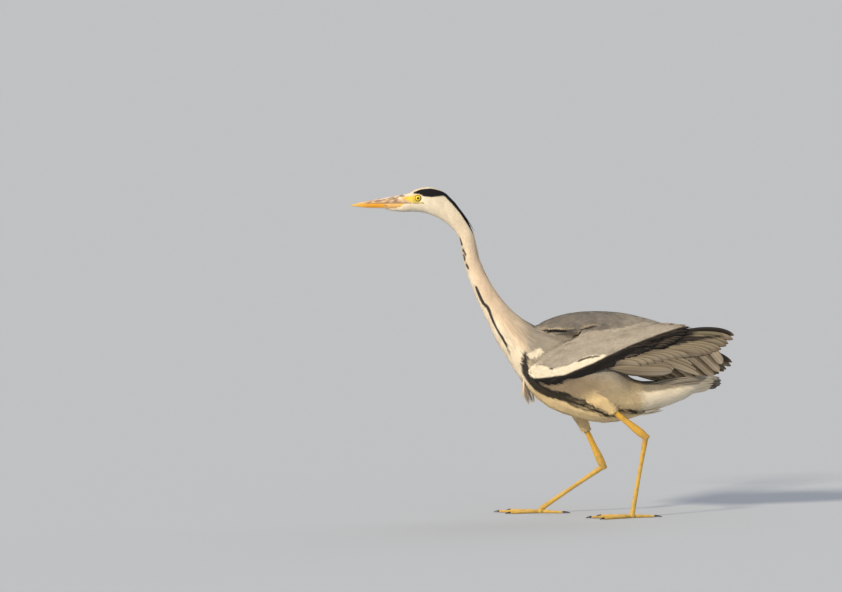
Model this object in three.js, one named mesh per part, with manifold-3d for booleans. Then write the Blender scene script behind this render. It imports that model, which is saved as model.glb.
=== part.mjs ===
// A grey heron (Ardea cinerea), life size: an adult that wades low with its neck stretched forward.
// Millimetres, +Z up. The bird faces -X, its left side is towards -Y, and it stands on z = 0.
// Feathered parts are solids out to the tips of the plumage. The bird is still, so nothing moves.
import * as THREE from "three";
import { mergeVertices } from "three/addons/utils/BufferGeometryUtils.js";
import Module from "manifold-3d";

const wasm = await Module();
wasm.setup();

const GAP = 0.6; // clear space that every pair of touching pieces keeps
const TRIM = 0.22; // detail finer than this is left out where solids are joined or cut
const LEFT = -1;
const RIGHT = 1;

const vec = (x, y, z) => new THREE.Vector3(x, y, z);
const lerp = THREE.MathUtils.lerp;
const radians = THREE.MathUtils.degToRad;
const smooth = (t) => THREE.MathUtils.smoothstep(t, 0, 1);
const UP = vec(0, 0, 1);

// ---------- colours ----------

const finish = (color, roughness) => new THREE.MeshStandardMaterial({ color, roughness, metalness: 0 });
const CREAM = finish(0xe9dcc4, 0.9);
const WHITE = finish(0xf0e8da, 0.9);
const GREY = finish(0x9c9489, 0.9);
const SLATE = finish(0x2d2c30, 0.8);
const BROWN_GREY = finish(0x8a7f72, 0.85);
const BILL = finish(0xd9a04e, 0.45);
const LEG = finish(0xd8a545, 0.55);
const CLAW = finish(0x4a4038, 0.5);
const EYE = finish(0xe6c928, 0.1);

// ---------- solids ----------

// A closed surface through rings that all hold the same number of points, with a fan on each end.
function loft(rings) {
  const count = rings[0].length;
  const middle = (ring) => ring.reduce((sum, p) => sum.add(p), vec(0, 0, 0)).divideScalar(count);
  const points = [...rings.flat(), middle(rings[0]), middle(rings.at(-1))];
  const start = points.length - 2;
  const end = points.length - 1;
  const last = (rings.length - 1) * count;
  const faces = [];
  for (let i = 0; i < count; i++) {
    const next = (i + 1) % count;
    for (let k = 0; k < last; k += count) {
      faces.push(k + i, k + next, k + count + next, k + i, k + count + next, k + count + i);
    }
    faces.push(start, next, i, end, last + i, last + next);
  }
  return facedOut(points, faces);
}

// An indexed geometry whose faces point outwards, whichever way round its rings were.
function facedOut(points, faces) {
  let volume = 0;
  for (let i = 0; i < faces.length; i += 3) {
    const [a, b, c] = [points[faces[i]], points[faces[i + 1]], points[faces[i + 2]]];
    volume += a.dot(b.clone().cross(c));
  }
  if (volume < 0) faces.reverse();
  return new THREE.BufferGeometry().setFromPoints(points).setIndex(faces);
}

function solidOf(geometry) {
  const bare = geometry.clone();
  bare.deleteAttribute("normal");
  bare.deleteAttribute("uv");
  const merged = mergeVertices(bare, 1e-3);
  const vertProperties = merged.attributes.position.array;
  return new wasm.Manifold(
    new wasm.Mesh({ numProp: 3, vertProperties, triVerts: new Uint32Array(merged.index.array) }),
  );
}

function geometryOf(solid) {
  const mesh = solid.getMesh();
  return new THREE.BufferGeometry()
    .setAttribute("position", new THREE.BufferAttribute(mesh.vertProperties, 3))
    .setIndex(new THREE.BufferAttribute(mesh.triVerts, 1));
}

const joined = (geometries) => geometryOf(geometries.map(solidOf).reduce((a, b) => a.add(b)));

// What is left of a piece once its neighbours have taken their room: the largest body of it.
function carved(geometry, neighbours) {
  const left = neighbours.map(solidOf).reduce((a, b) => a.subtract(b), solidOf(geometry));
  const bodies = left.simplify(TRIM).decompose().sort((a, b) => b.volume() - a.volume());
  return geometryOf(bodies[0]);
}

// A closed tube along a curve. size(t) gives its half width across and its half height.
function tube(curve, size, steps, sides, grow = 0) {
  const rings = [];
  for (let k = 0; k <= steps; k++) {
    const t = k / steps;
    const along = curve.getTangent(t);
    const across = along.clone().cross(Math.abs(along.z) > 0.95 ? vec(-1, 0, 0) : UP).normalize();
    const over = across.clone().cross(along);
    const [width, height] = size(t);
    const centre = curve.getPoint(t);
    if (k === 0) centre.addScaledVector(along, -grow);
    if (k === steps) centre.addScaledVector(along, grow);
    rings.push(
      Array.from({ length: sides }, (_, i) => {
        const a = (2 * Math.PI * i) / sides;
        return centre
          .clone()
          .addScaledVector(across, Math.cos(a) * (width + grow))
          .addScaledVector(over, Math.sin(a) * (height + grow));
      }),
    );
  }
  return loft(rings);
}

const through = (points) => new THREE.CatmullRomCurve3(points.map((p) => vec(...p)), false, "centripetal");

// A smooth value through evenly spaced keys, for t from 0 to 1.
const valueAt = (keys, t) =>
  new THREE.CatmullRomCurve3(keys.map((v, i) => vec(i, v, 0))).getPoint(t).y;

// ---------- head, neck and trunk ----------

// Stations of the feathered outline, from the chin to the undertail: the point on the back line,
// the point on the throat and belly line, and the half width.
const STATIONS = [
  { name: "chin", back: [-361, 631], front: [-361, 628], half: 3 },
  { name: "mouth", back: [-328, 642], front: [-328, 624], half: 9.5 },
  { name: "lore", back: [-319, 655], front: [-320, 623], half: 12 },
  { name: "forehead", back: [-308, 665], front: [-309, 624], half: 14 },
  { name: "eye", back: [-286, 673], front: [-287, 623], half: 17 },
  { name: "crown", back: [-264, 674], front: [-272, 620], half: 18 },
  { name: "nape", back: [-232, 660], front: [-252, 612], half: 17 },
  { name: "neck_top", back: [-201, 624], front: [-226, 595], half: 15.5 },
  { name: "neck_bend", back: [-176, 577], front: [-206, 569], half: 15.5 },
  { name: "neck_kink", back: [-165, 528], front: [-199, 525], half: 16 },
  { name: "neck_middle", back: [-139, 473], front: [-178, 462], half: 18 },
  { name: "neck_low", back: [-98, 421], front: [-150, 400], half: 24 },
  { name: "neck_base", back: [-47, 386], front: [-117, 336], half: 36 },
  { name: "shoulder", back: [16, 369], front: [-68, 262], half: 55 },
  { name: "breast", back: [53, 359], front: [-23, 222], half: 63 },
  { name: "belly", back: [88, 338], front: [33, 201], half: 66 },
  { name: "flank", back: [119, 314], front: [90, 190], half: 63 },
  { name: "vent", back: [141, 286], front: [140, 198], half: 52 },
  { name: "rump", back: [170, 276], front: [189, 215], half: 40 },
  { name: "undertail", back: [240, 281], front: [258, 240], half: 25 },
  { name: "undertail_tip", back: [284, 279], front: [292, 266], half: 11 },
];
const BODY_SIDES = 18;
const RINGS_PER_STATION = 2;
const ROUNDNESS = 2.15; // exponent of the superellipse that each section follows
const NEARBY = 0.004; // step along an outline that its speed is measured over

const stationAt = (name) => STATIONS.findIndex((s) => s.name === name) / (STATIONS.length - 1);
const backLine = through(STATIONS.map((s) => [s.back[0], s.half, s.back[1]]));
const frontLine = through(STATIONS.map((s) => [s.front[0], s.half, s.front[1]]));
// How much wider a section is above its middle than below: crowns are narrow, and bellies keeled.
const TOP_HEAVY = [-0.1, -0.1, 0, 0, 0, 0.1, 0.16, 0.12, 0.2];

function bodyRing(t, grow) {
  const back = backLine.getPoint(t);
  const front = frontLine.getPoint(t);
  const half = (back.y + front.y) / 2 + grow;
  back.y = front.y = 0;
  const centre = back.clone().lerp(front, 0.5);
  const up = back.clone().sub(front);
  const depth = up.length() / 2 + grow;
  up.normalize();
  const heavy = valueAt(TOP_HEAVY, t);
  const power = (v) => Math.sign(v) * Math.abs(v) ** (2 / ROUNDNESS);
  return Array.from({ length: BODY_SIDES }, (_, i) => {
    const a = (2 * Math.PI * (i + 0.5)) / BODY_SIDES;
    const width = half * power(Math.cos(a)) * (1 + heavy * Math.sin(a));
    return centre.clone().add(vec(0, width, 0)).addScaledVector(up, depth * power(Math.sin(a)));
  });
}

// The body from one station to another. grow makes it that much larger all round, to cut others with.
function bodyLength(from, to, grow = 0) {
  const [a, b] = [stationAt(from), stationAt(to)];
  const speed = (line) => line.getPoint(a + NEARBY).distanceTo(line.getPoint(a)) / NEARBY;
  const gap = from === STATIONS[0].name || grow ? 0 : GAP / Math.min(speed(backLine), speed(frontLine));
  const steps = Math.round((b - a) * (STATIONS.length - 1) * RINGS_PER_STATION);
  return loft(Array.from({ length: steps + 1 }, (_, k) => bodyRing(lerp(a + gap, b, k / steps), grow)));
}

// ---------- bill ----------

const BILL_TIP = -430;
const BILL_BASE = -308;
const BILL_STEPS = 8;
const BILL_ARCH = 8; // straight edges in each mandible's arch
const BILL_FULLNESS = 0.85; // below 1 the arch is fuller than an ellipse
// Heights along the bill from its tip to its base.
const CULMEN = [637.2, 643.5, 648.5, 653, 657.5, 662];
const GAPE = [636.6, 639.2, 640.6, 641, 641, 641];
const GONYS = [635.9, 632.8, 631.6, 630.6, 629.8, 629.4];
const BILL_HALF = [0.7, 2.9, 4.9, 6.7, 8.4, 10];
const GAPE_CLEAR = 0.2; // each mandible stops this far from the line between them

// One mandible: an arch over (or under) the gape line, flat along that line.
function mandible(edge, way, grow = 0) {
  const rings = [];
  for (let k = 0; k <= BILL_STEPS; k++) {
    const t = k / BILL_STEPS;
    const x = lerp(BILL_TIP, BILL_BASE, t) + (k === 0 ? -grow : 0);
    const base = valueAt(GAPE, t) + way * (GAPE_CLEAR - grow);
    const height = Math.abs(valueAt(edge, t) - base) + grow;
    const half = valueAt(BILL_HALF, t) + grow;
    rings.push(
      Array.from({ length: BILL_ARCH + 1 }, (_, i) => {
        const a = (Math.PI * i) / BILL_ARCH;
        return vec(x, half * Math.cos(a), base + way * height * Math.sin(a) ** BILL_FULLNESS);
      }),
    );
  }
  return loft(rings);
}

// ---------- eyes ----------

const EYE_RADIUS = 9;
const EYE_PLACE = vec(-291, 10.6, 651.5);

const eyeBall = (side, radius) => {
  const ball = new THREE.SphereGeometry(radius, 12, 8);
  return ball.translate(EYE_PLACE.x, side * EYE_PLACE.y, EYE_PLACE.z);
};

// ---------- feathers ----------

const FOOT_END = 0.4; // share of a feather's length where its vanes reach their full width
const FOOT_WIDTH = 0.35;
const TIP_START = 0.74;
const TIP_WIDTH = 0.08;

// The width of a flight feather along its length, as a share of its widest: a narrow foot, full
// vanes and a round end.
function leaf(v) {
  const foot = lerp(FOOT_WIDTH, 1, smooth(v / FOOT_END));
  const pastStart = Math.max(0, (v - TIP_START) / (1 - TIP_START));
  return Math.max(foot * Math.sqrt(1 - pastStart ** 2), TIP_WIDTH);
}

// One long feather as a thin lens that curves from its root past a bend to its tip. face is the
// direction that its upper side looks in.
function blade({ root, bend, tip, face, half, thick, steps = 5, grow = 0 }) {
  const curve = new THREE.QuadraticBezierCurve3(root, bend, tip);
  const rings = [];
  for (let k = 0; k <= steps; k++) {
    const v = Math.sin(((k / steps) * Math.PI) / 2);
    const along = curve.getTangent(v);
    const side = along.clone().cross(face).normalize();
    const over = side.clone().cross(along);
    const width = half * leaf(v) + grow;
    const height = (thick * lerp(1, 0.55, v)) / 2 + grow;
    const p = curve.getPoint(v).addScaledVector(along, k === steps ? grow : 0);
    rings.push([
      p.clone().addScaledVector(side, width),
      p.clone().addScaledVector(over, height),
      p.clone().addScaledVector(side, -width),
      p.clone().addScaledVector(over, -height),
    ]);
  }
  return loft(rings);
}

// A fan of feathers whose roots, bends and tips follow three curves. Each lies a layer under the
// one before.
function fan({ roots, bends, tips, face, half, thick, layer, count, steps = 5, grow = 0 }) {
  const lines = [roots, bends, tips].map(through);
  return joined(
    Array.from({ length: count }, (_, i) => {
      const s = i / (count - 1);
      const [root, bend, tip] = lines.map((line) => line.getPoint(s).addScaledVector(face, -layer * i));
      return blade({ root, bend, tip, face, half: lerp(half[0], half[1], s), thick, steps, grow });
    }),
  );
}

// ---------- wings ----------

// The folded arm of the left wing, from the wrist back: its leading edge, which is its outermost
// line, its ridge along the scapulars, and the lower edge of its inner side.
const LEADING_EDGE = [
  [-66, 54, 297], [-56, 62, 283], [-20, 73, 287], [8, 79, 291], [33, 82, 302], [63, 84, 314],
  [89, 84, 327], [145, 80, 353], [205, 70, 376], [257, 56, 391],
];
const RIDGE = [
  [-66, 52, 301], [-60, 54, 311], [-43, 55, 326], [-19, 52, 342], [10, 46, 359], [34, 40, 372],
  [60, 34, 386], [110, 27, 395], [175, 24, 398], [257, 46, 393],
];
const INNER_EDGE = [
  [-62, 50, 290], [-50, 52, 279], [-30, 54, 273], [2, 60, 276], [32, 65, 284], [63, 68, 297],
  [92, 70, 311], [145, 70, 338], [205, 64, 365], [255, 54, 388],
];
const WING_BULGE = 12; // how far the covert surface stands out between its two edges
const WING_FLESH = [8, 12, 11, 9, 6, 3]; // thickness under the ridge, from the wrist back
const ARM_STEPS = 13;
const OUTER_POINTS = 7;

// The long feathers hang from inside the arm. Primaries are given from the outermost inwards.
const PRIMARY_ROOTS = [[52, 62, 302], [66, 60, 300], [80, 58, 300]];
const SECONDARY_ROOTS = [[96, 62, 312], [60, 60, 300], [24, 58, 286]];
// The way the feathers' under sides look.
const underwing = (wing) => vec(0.1, wing.side * 0.86, -0.5).normalize();

const WINGS = {
  left: {
    side: LEFT,
    pitch: 0,
    primaryBends: [[266, 54, 414], [244, 55, 384], [200, 58, 348]],
    primaryTips: [[355, 38, 373], [353, 40, 364], [340, 42, 352], [323, 45, 339]],
    secondaryBends: [[190, 64, 330], [160, 62, 311], [110, 60, 303]],
    secondaryTips: [[270, 52, 322], [284, 48, 295], [232, 51, 303], [162, 56, 313]],
  },
  // Its arm hangs a little lower behind and its hand droops, so that its tips show under the left's.
  right: {
    side: RIGHT,
    pitch: radians(3),
    primaryBends: [[266, 54, 372], [230, 55, 342], [190, 58, 320]],
    primaryTips: [[351, 40, 312], [338, 43, 307], [328, 46, 296], [300, 48, 289]],
    secondaryBends: [[180, 60, 320], [150, 59, 310], [100, 58, 303]],
    secondaryTips: [[262, 50, 302], [225, 51, 301], [190, 53, 304], [150, 55, 310]],
  },
};

// A table of left wing points set on a wing's own side, and pitched about its wrist.
function onWing(wing, table, pitch = wing.pitch) {
  const [wristX, , wristZ] = LEADING_EDGE[0];
  return table.map(([x, y, z]) => {
    const turned = vec(x - wristX, 0, z - wristZ).applyAxisAngle(vec(0, 1, 0), pitch);
    return [turned.x + wristX, wing.side * y, turned.z + wristZ];
  });
}

function wingArm(wing, grow = 0) {
  const lines = [LEADING_EDGE, RIDGE, INNER_EDGE].map((line) => through(onWing(wing, line)));
  const out = vec(0, wing.side * 0.75, 0.66);
  const rings = [];
  for (let k = 0; k <= ARM_STEPS; k++) {
    const t = k / ARM_STEPS;
    const [edge, ridge, inner] = lines.map((line) => line.getPoint(t));
    const swell = out.clone().multiplyScalar(WING_BULGE * Math.sin(Math.PI * t) ** 0.6);
    const outer = new THREE.QuadraticBezierCurve3(edge, edge.clone().lerp(ridge, 0.5).add(swell), ridge);
    const under = out.clone().multiplyScalar(-valueAt(WING_FLESH, t));
    const inside = new THREE.QuadraticBezierCurve3(
      ridge.clone().add(under),
      ridge.clone().lerp(inner, 0.5).add(under).addScaledVector(swell, 0.5),
      inner,
    );
    const ring = [...outer.getPoints(OUTER_POINTS - 1), ...inside.getPoints(4)];
    rings.push(grown(ring, grow));
  }
  return loft(rings);
}

// A flat ring made larger by the same amount all round.
function grown(ring, by) {
  const facing = vec(0, 0, 0);
  ring.forEach((p, i) => facing.add(p.clone().cross(ring[(i + 1) % ring.length])));
  return ring.map((p, i) => {
    const outwards = ring[(i + 1) % ring.length].clone().sub(ring.at(i - 1)).cross(facing);
    return p.clone().add(outwards.setLength(by));
  });
}

const primaries = (wing, grow = 0) =>
  fan({
    roots: onWing(wing, PRIMARY_ROOTS),
    bends: onWing(wing, wing.primaryBends, 0),
    tips: onWing(wing, wing.primaryTips, 0),
    face: underwing(wing),
    half: [12, 14],
    thick: 3,
    layer: -0.5,
    count: 6,
    grow,
  });

const secondaries = (wing, grow = 0) =>
  fan({
    roots: onWing(wing, SECONDARY_ROOTS),
    bends: onWing(wing, wing.secondaryBends, 0),
    tips: onWing(wing, wing.secondaryTips, 0),
    face: underwing(wing),
    half: [19, 18],
    thick: 3,
    layer: -0.5,
    count: 3,
    grow,
  });

// ---------- mantle ----------

// The cape of back feathers and scapulars, from its front lip to its last long feathers.
const MANTLE_FROM = -54;
const MANTLE_TO = 236;
const MANTLE_STEPS = 12;
const MANTLE_TOP = [388, 407, 416, 420, 420, 417, 409, 399, 386];
const MANTLE_LIP = [385, 383, 386, 388, 388, 387, 387, 386, 382];
const MANTLE_HALF = [6, 32, 40, 44, 45, 42, 34, 23, 5];
const MANTLE_KEEL = [380, 362, 352, 340, 330, 350, 368, 376, 380];

function mantle(grow = 0) {
  const rings = [];
  for (let k = 0; k <= MANTLE_STEPS; k++) {
    const t = k / MANTLE_STEPS;
    const x = lerp(MANTLE_FROM - grow, MANTLE_TO + grow, t);
    const half = valueAt(MANTLE_HALF, t) + grow;
    const lip = valueAt(MANTLE_LIP, t) - grow;
    const top = valueAt(MANTLE_TOP, t) + grow;
    const keel = valueAt(MANTLE_KEEL, t) - grow;
    const arch = Array.from({ length: 11 }, (_, i) => {
      const a = (Math.PI * i) / 10;
      return vec(x, half * Math.cos(a), lip + (top - lip) * Math.sin(a) ** 0.9);
    });
    const below = [-0.62, 0, 0.62].map((share) => vec(x, half * share, lerp(keel, lip, Math.abs(share))));
    rings.push([...arch, ...below]);
  }
  return loft(rings);
}

// ---------- tail ----------

const TAIL_ROOTS = [[200, -9, 279], [196, 0, 276], [200, 9, 272]];
const TAIL_BENDS = [[262, -22, 288], [266, 0, 280], [262, 22, 269]];
const TAIL_TIPS = [[327, -32, 286], [332, 0, 274], [324, 32, 260]];

// Stiff feathers in a shallow fan, rolled a little so that its left side is the higher.
const tail = () =>
  fan({
    roots: TAIL_ROOTS,
    bends: TAIL_BENDS,
    tips: TAIL_TIPS,
    face: vec(0, 0.37, 0.93).normalize(),
    half: [14, 14],
    thick: 3,
    layer: 0,
    count: 7,
  });

// ---------- plumes ----------

// Long black feathers that lie from the crown down the back of the neck.
const CREST_LINE = [
  [-246, 0, 668], [-230, 0, 659], [-215, 0, 643], [-199, 0, 621], [-185, 0, 599], [-174, 0, 582],
];
const CREST_SIZE = [[5, 2.6], [1.5, 1.6]];

const crest = () =>
  tube(through(CREST_LINE), (t) => CREST_SIZE[0].map((v, i) => lerp(v, CREST_SIZE[1][i], t)), 12, 6);

// Pointed white plumes that hang from the base of the neck over the breast.
const PLUME_TIPS = [
  [-76, -4, 236], [-70, 10, 228], [-67, -14, 224], [-61, 2, 229], [-55, -12, 227], [-47, -5, 230],
];
const PLUME_ROOT = vec(-88, 0, 292);

function breastPlumes() {
  const face = vec(-1, 0, -0.3).normalize();
  const root = blade({
    root: vec(-88, 0, 312),
    bend: vec(-84, 0, 276),
    tip: vec(-66, 0, 248),
    face,
    half: 20,
    thick: 9,
  });
  const plumes = PLUME_TIPS.map(([x, y, z]) =>
    blade({
      root: PLUME_ROOT.clone().add(vec((x + 63) * 0.2, y * 0.8, 0)),
      bend: vec(x * 0.6 - 34, y, 258),
      tip: vec(x, y, z),
      face,
      half: 3.4,
      thick: 3,
      steps: 4,
    }),
  );
  return joined([root, ...plumes]);
}

// ---------- legs ----------

// Knee, ankle and foot joint of each leg. The tibia is 216 long and the tarsus 157.
const LEGS = {
  left: {
    side: LEFT,
    knee: vec(6, -48, 300),
    ankle: vec(174, -60, 166),
    foot: vec(147, -56, 8),
    toeOut: 10,
  },
  right: {
    side: RIGHT,
    knee: vec(0, 48, 292),
    ankle: vec(91, 58, 96),
    foot: vec(-39, 54, 8),
    toeOut: -8,
  },
};
const FEATHERED = 0.62; // share of the tibia that feathers cover
const THIGH_SIZE = [[20, 26], [19, 22], [16, 17], [9, 10]]; // half width and depth, down the tibia
const SHANK_SIZE = [[5.2, 6], [5.2, 6], [5.6, 6.6], [7, 8], [7.4, 8.6], [6.4, 7.4]];
const TARSUS_SIZE = [[5.6, 6.4], [4.2, 5], [3.7, 4.3], [3.7, 4.3], [4.1, 4.8], [5.2, 5.4]];

const sizeAlong = (keys) => (t) => [0, 1].map((i) => valueAt(keys.map((k) => k[i]), t));

const thigh = (leg) =>
  tube(
    new THREE.LineCurve3(leg.knee, leg.knee.clone().lerp(leg.ankle, FEATHERED)),
    sizeAlong(THIGH_SIZE),
    7,
    12,
  );

// The bare end of the tibia with the ankle's knob.
const shank = (leg, grow = 0) =>
  tube(
    new THREE.LineCurve3(
      leg.knee.clone().lerp(leg.ankle, FEATHERED + GAP / 200),
      leg.knee.clone().lerp(leg.ankle, 1.03),
    ),
    sizeAlong(SHANK_SIZE),
    8,
    8,
    grow,
  );

const tarsus = (leg) =>
  tube(
    new THREE.LineCurve3(leg.ankle, leg.foot.clone().lerp(leg.ankle, 0.012)),
    sizeAlong(TARSUS_SIZE),
    6,
    8,
  );

// ---------- feet ----------

// Toes of one foot: direction from straight ahead towards the bird's outer side, and length.
const TOES = [
  { name: "inner", turn: -30, long: 66, radius: 4.3, claw: 11 },
  { name: "middle", turn: 0, long: 84, radius: 4.5, claw: 12 },
  { name: "outer", turn: 27, long: 73, radius: 4.3, claw: 11 },
  { name: "hind", turn: 183, long: 46, radius: 4.3, claw: 16 },
];
const TOE_SINK = 0.8; // height of a toe's middle over its radius, which gives it a flat sole
const TOE_SIDES = 7;
const HUB_RADIUS = 7;
const KNUCKLES = 3;
const TOE_STEPS = 7;

const ahead = (turn, side) => vec(-Math.cos(radians(turn)), side * Math.sin(radians(turn)), 0);
const knuckle = (t) => 1 + 0.1 * Math.cos(2 * Math.PI * KNUCKLES * t);
// Half thickness along a toe, with a swelling at each knuckle.
const toeHalf = (toe, t) => toe.radius * lerp(1, 0.62, t) * knuckle(t);

function toeTube(toe, side) {
  const way = ahead(toe.turn, side);
  const across = way.clone().cross(UP);
  const rings = [];
  for (let k = 0; k <= TOE_STEPS; k++) {
    const t = k / TOE_STEPS;
    const half = toeHalf(toe, t);
    const centre = way.clone().multiplyScalar(toe.long * t);
    rings.push(
      Array.from({ length: TOE_SIDES }, (_, i) => {
        const a = (2 * Math.PI * (i + 0.25)) / TOE_SIDES;
        const height = half * (TOE_SINK + Math.sin(a));
        return centre.clone().addScaledVector(across, half * Math.cos(a)).setZ(Math.max(height, 0));
      }),
    );
  }
  return loft(rings);
}

// The hub under the tarsus, cut flat at the floor.
function footHub(grow = 0) {
  const ball = new THREE.SphereGeometry(HUB_RADIUS + grow, 10, 7).translate(0, 0, HUB_RADIUS * 0.55);
  const places = ball.attributes.position;
  for (let i = 0; i < places.count; i++) places.setZ(i, Math.max(places.getZ(i), 0));
  return ball;
}

const footSole = (side) => joined([footHub(), ...TOES.map((toe) => toeTube(toe, side))]);

function clawHorn(toe, side) {
  const way = ahead(toe.turn, side);
  const half = toeHalf(toe, 1) * 0.82;
  const at = (share, z) => way.clone().multiplyScalar(toe.long + 2 * GAP + toe.claw * share).setZ(z);
  const curve = new THREE.QuadraticBezierCurve3(at(0, half + 0.6), at(0.6, half + 0.6), at(1, 0.9));
  return tube(curve, (t) => [lerp(half, 0.5, t) * 0.8, lerp(half, 0.5, t)], 4, 6);
}

// ---------- the bird ----------

const heron = new THREE.Group();

function add(name, geometry, material, parent = heron) {
  const mesh = new THREE.Mesh(geometry, material);
  mesh.name = name;
  parent.add(mesh);
  return mesh;
}

const wholeBody = bodyLength("chin", "undertail_tip", GAP);
const billRoom = [mandible(CULMEN, 1, GAP), mandible(GONYS, -1, GAP)];
const eyeRoom = [LEFT, RIGHT].map((side) => eyeBall(side, EYE_RADIUS + GAP));

add("bill_upper", mandible(CULMEN, 1), BILL);
add("bill_lower", mandible(GONYS, -1), BILL);
add("head", carved(bodyLength("chin", "nape"), [...billRoom, ...eyeRoom]), CREAM);
add("neck_upper", bodyLength("nape", "neck_kink"), CREAM);
add("neck_middle", bodyLength("neck_kink", "neck_low"), CREAM);
add("neck_lower", bodyLength("neck_low", "neck_base"), CREAM);
add("trunk", bodyLength("neck_base", "undertail_tip"), GREY);
add("eye_left", eyeBall(LEFT, EYE_RADIUS), EYE);
add("eye_right", eyeBall(RIGHT, EYE_RADIUS), EYE);
add("crest", carved(crest(), [wholeBody]), SLATE);
add("breast_plumes", carved(breastPlumes(), [wholeBody]), WHITE);
add("mantle", carved(mantle(), [wholeBody]), GREY);
add("tail", carved(tail(), [wholeBody]), BROWN_GREY);

const wingRoom = [];
for (const [name, wing] of Object.entries(WINGS)) {
  const armRoom = wingArm(wing, GAP);
  const handRoom = primaries(wing, 2 * GAP);
  const above = [wholeBody, mantle(GAP)];
  add(`wing_${name}_coverts`, carved(wingArm(wing), above), GREY);
  add(`wing_${name}_primaries`, carved(primaries(wing), [...above, armRoom]), SLATE);
  add(`wing_${name}_secondaries`, carved(secondaries(wing), [...above, armRoom, handRoom]), BROWN_GREY);
  wingRoom.push(armRoom, handRoom, secondaries(wing, GAP));
}

for (const [name, leg] of Object.entries(LEGS)) {
  add(`thigh_${name}`, carved(thigh(leg), [wholeBody, ...wingRoom]), WHITE);
  add(`shank_${name}`, carved(shank(leg), [wholeBody]), LEG);
  const hubRoom = footHub(GAP * 2).translate(leg.foot.x, leg.foot.y, 0);
  add(`tarsus_${name}`, carved(tarsus(leg), [shank(leg, GAP), hubRoom]), LEG);
  const foot = new THREE.Group();
  foot.position.set(leg.foot.x, leg.foot.y, 0);
  foot.rotation.z = radians(leg.toeOut);
  heron.add(foot);
  add(`foot_${name}`, carved(footSole(leg.side), []), LEG, foot);
  for (const toe of TOES) add(`claw_${name}_${toe.name}`, clawHorn(toe, leg.side), CLAW, foot);
}

// The origin is under the middle of the whole bird, on the floor.
const bird = new THREE.Group();
bird.add(heron);
const extent = new THREE.Box3().setFromObject(heron).getCenter(vec(0, 0, 0));
heron.position.set(-extent.x, -extent.y, 0);

export default bird;
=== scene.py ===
"""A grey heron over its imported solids: one skin, plumage in vanes, bill, eyes, legs and claws.

Shapes are worked out in the bird's own millimetres (bill tip at x = -430, floor at z = 0, the
middle of the eyes at y = 0, left side towards -y) and put into the row frame in metres at the end.
"""

import math

import bmesh
import bpy
import numpy as np
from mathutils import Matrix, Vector
from mathutils.bvhtree import BVHTree


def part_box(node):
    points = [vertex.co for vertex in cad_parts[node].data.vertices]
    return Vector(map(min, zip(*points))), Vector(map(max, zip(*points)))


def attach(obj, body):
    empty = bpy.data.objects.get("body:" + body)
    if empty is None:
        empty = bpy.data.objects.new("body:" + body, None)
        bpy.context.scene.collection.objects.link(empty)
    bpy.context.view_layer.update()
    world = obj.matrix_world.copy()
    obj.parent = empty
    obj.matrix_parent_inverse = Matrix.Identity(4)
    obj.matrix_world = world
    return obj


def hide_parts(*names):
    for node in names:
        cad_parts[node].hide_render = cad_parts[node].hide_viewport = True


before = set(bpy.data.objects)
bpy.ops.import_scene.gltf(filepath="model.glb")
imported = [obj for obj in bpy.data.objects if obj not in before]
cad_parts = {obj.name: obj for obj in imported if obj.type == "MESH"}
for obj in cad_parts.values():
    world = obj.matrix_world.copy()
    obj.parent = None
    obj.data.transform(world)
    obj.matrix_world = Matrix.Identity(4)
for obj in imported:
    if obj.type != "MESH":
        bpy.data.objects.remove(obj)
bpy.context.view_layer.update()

MM = 0.001
BILL_TIP = -430.0
BILL_BASE = -306.0
EYES_Y = (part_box("eye_left")[0].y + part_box("eye_right")[1].y) / 2
HOME = np.array([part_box("bill_upper")[0].x - BILL_TIP * MM, EYES_Y, 0.0])
SIDES = {"left": -1.0, "right": 1.0}


def to_row(points):
    return np.asarray(points, float) * MM + HOME


def to_bird(points):
    return (np.asarray(points, float) - HOME) / MM


def add_object(name, data):
    item = bpy.data.objects.new(name, data)
    bpy.context.scene.collection.objects.link(item)
    return item


# ---- camera, light and floor

VIEW_WIDTH = 1726.0  # mm that the camera frames at the bird
CAMERA_AIM = (-285.0, 0.0, 451.0)
CAMERA_DISTANCE = 12.0
CAMERA_ELEVATION = math.radians(3.0)
SENSOR = 36.0


def make_camera():
    data = bpy.data.cameras.new("camera")
    data.sensor_width = SENSOR
    data.lens = SENSOR * CAMERA_DISTANCE / (VIEW_WIDTH * MM)
    data.clip_end = 2000
    camera = add_object("camera", data)
    away = Vector((0, -math.cos(CAMERA_ELEVATION), math.sin(CAMERA_ELEVATION)))
    camera.location = Vector(to_row(CAMERA_AIM)) + CAMERA_DISTANCE * away
    camera.rotation_euler = (-away).to_track_quat("-Z", "Y").to_euler()
    bpy.context.scene.camera = camera


SKY = (0.53, 0.535, 0.545)
FLOOR_RADIUS = 300
# Far soft lights: where each shines from, strength, colour and spread in degrees.
LIGHTS = {
    "key": ((-0.62, -0.70, 0.50), 3.4, (1.0, 0.86, 0.65), 8),
    "fill": ((0.55, 0.70, 0.55), 0.8, (0.92, 0.96, 1.0), 40),
}


def make_lights():
    """Adds the lights and gives the light on the floor."""
    on_floor = np.array(SKY)
    for name, (toward, strength, colour, spread) in LIGHTS.items():
        data = bpy.data.lights.new(name, "SUN")
        data.energy = strength
        data.color = colour
        data.angle = math.radians(spread)
        direction = Vector(toward).normalized()
        add_object(name, data).rotation_euler = direction.to_track_quat("Z", "Y").to_euler()
        on_floor = on_floor + strength * direction.z / math.pi * np.array(colour)
    return on_floor


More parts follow.
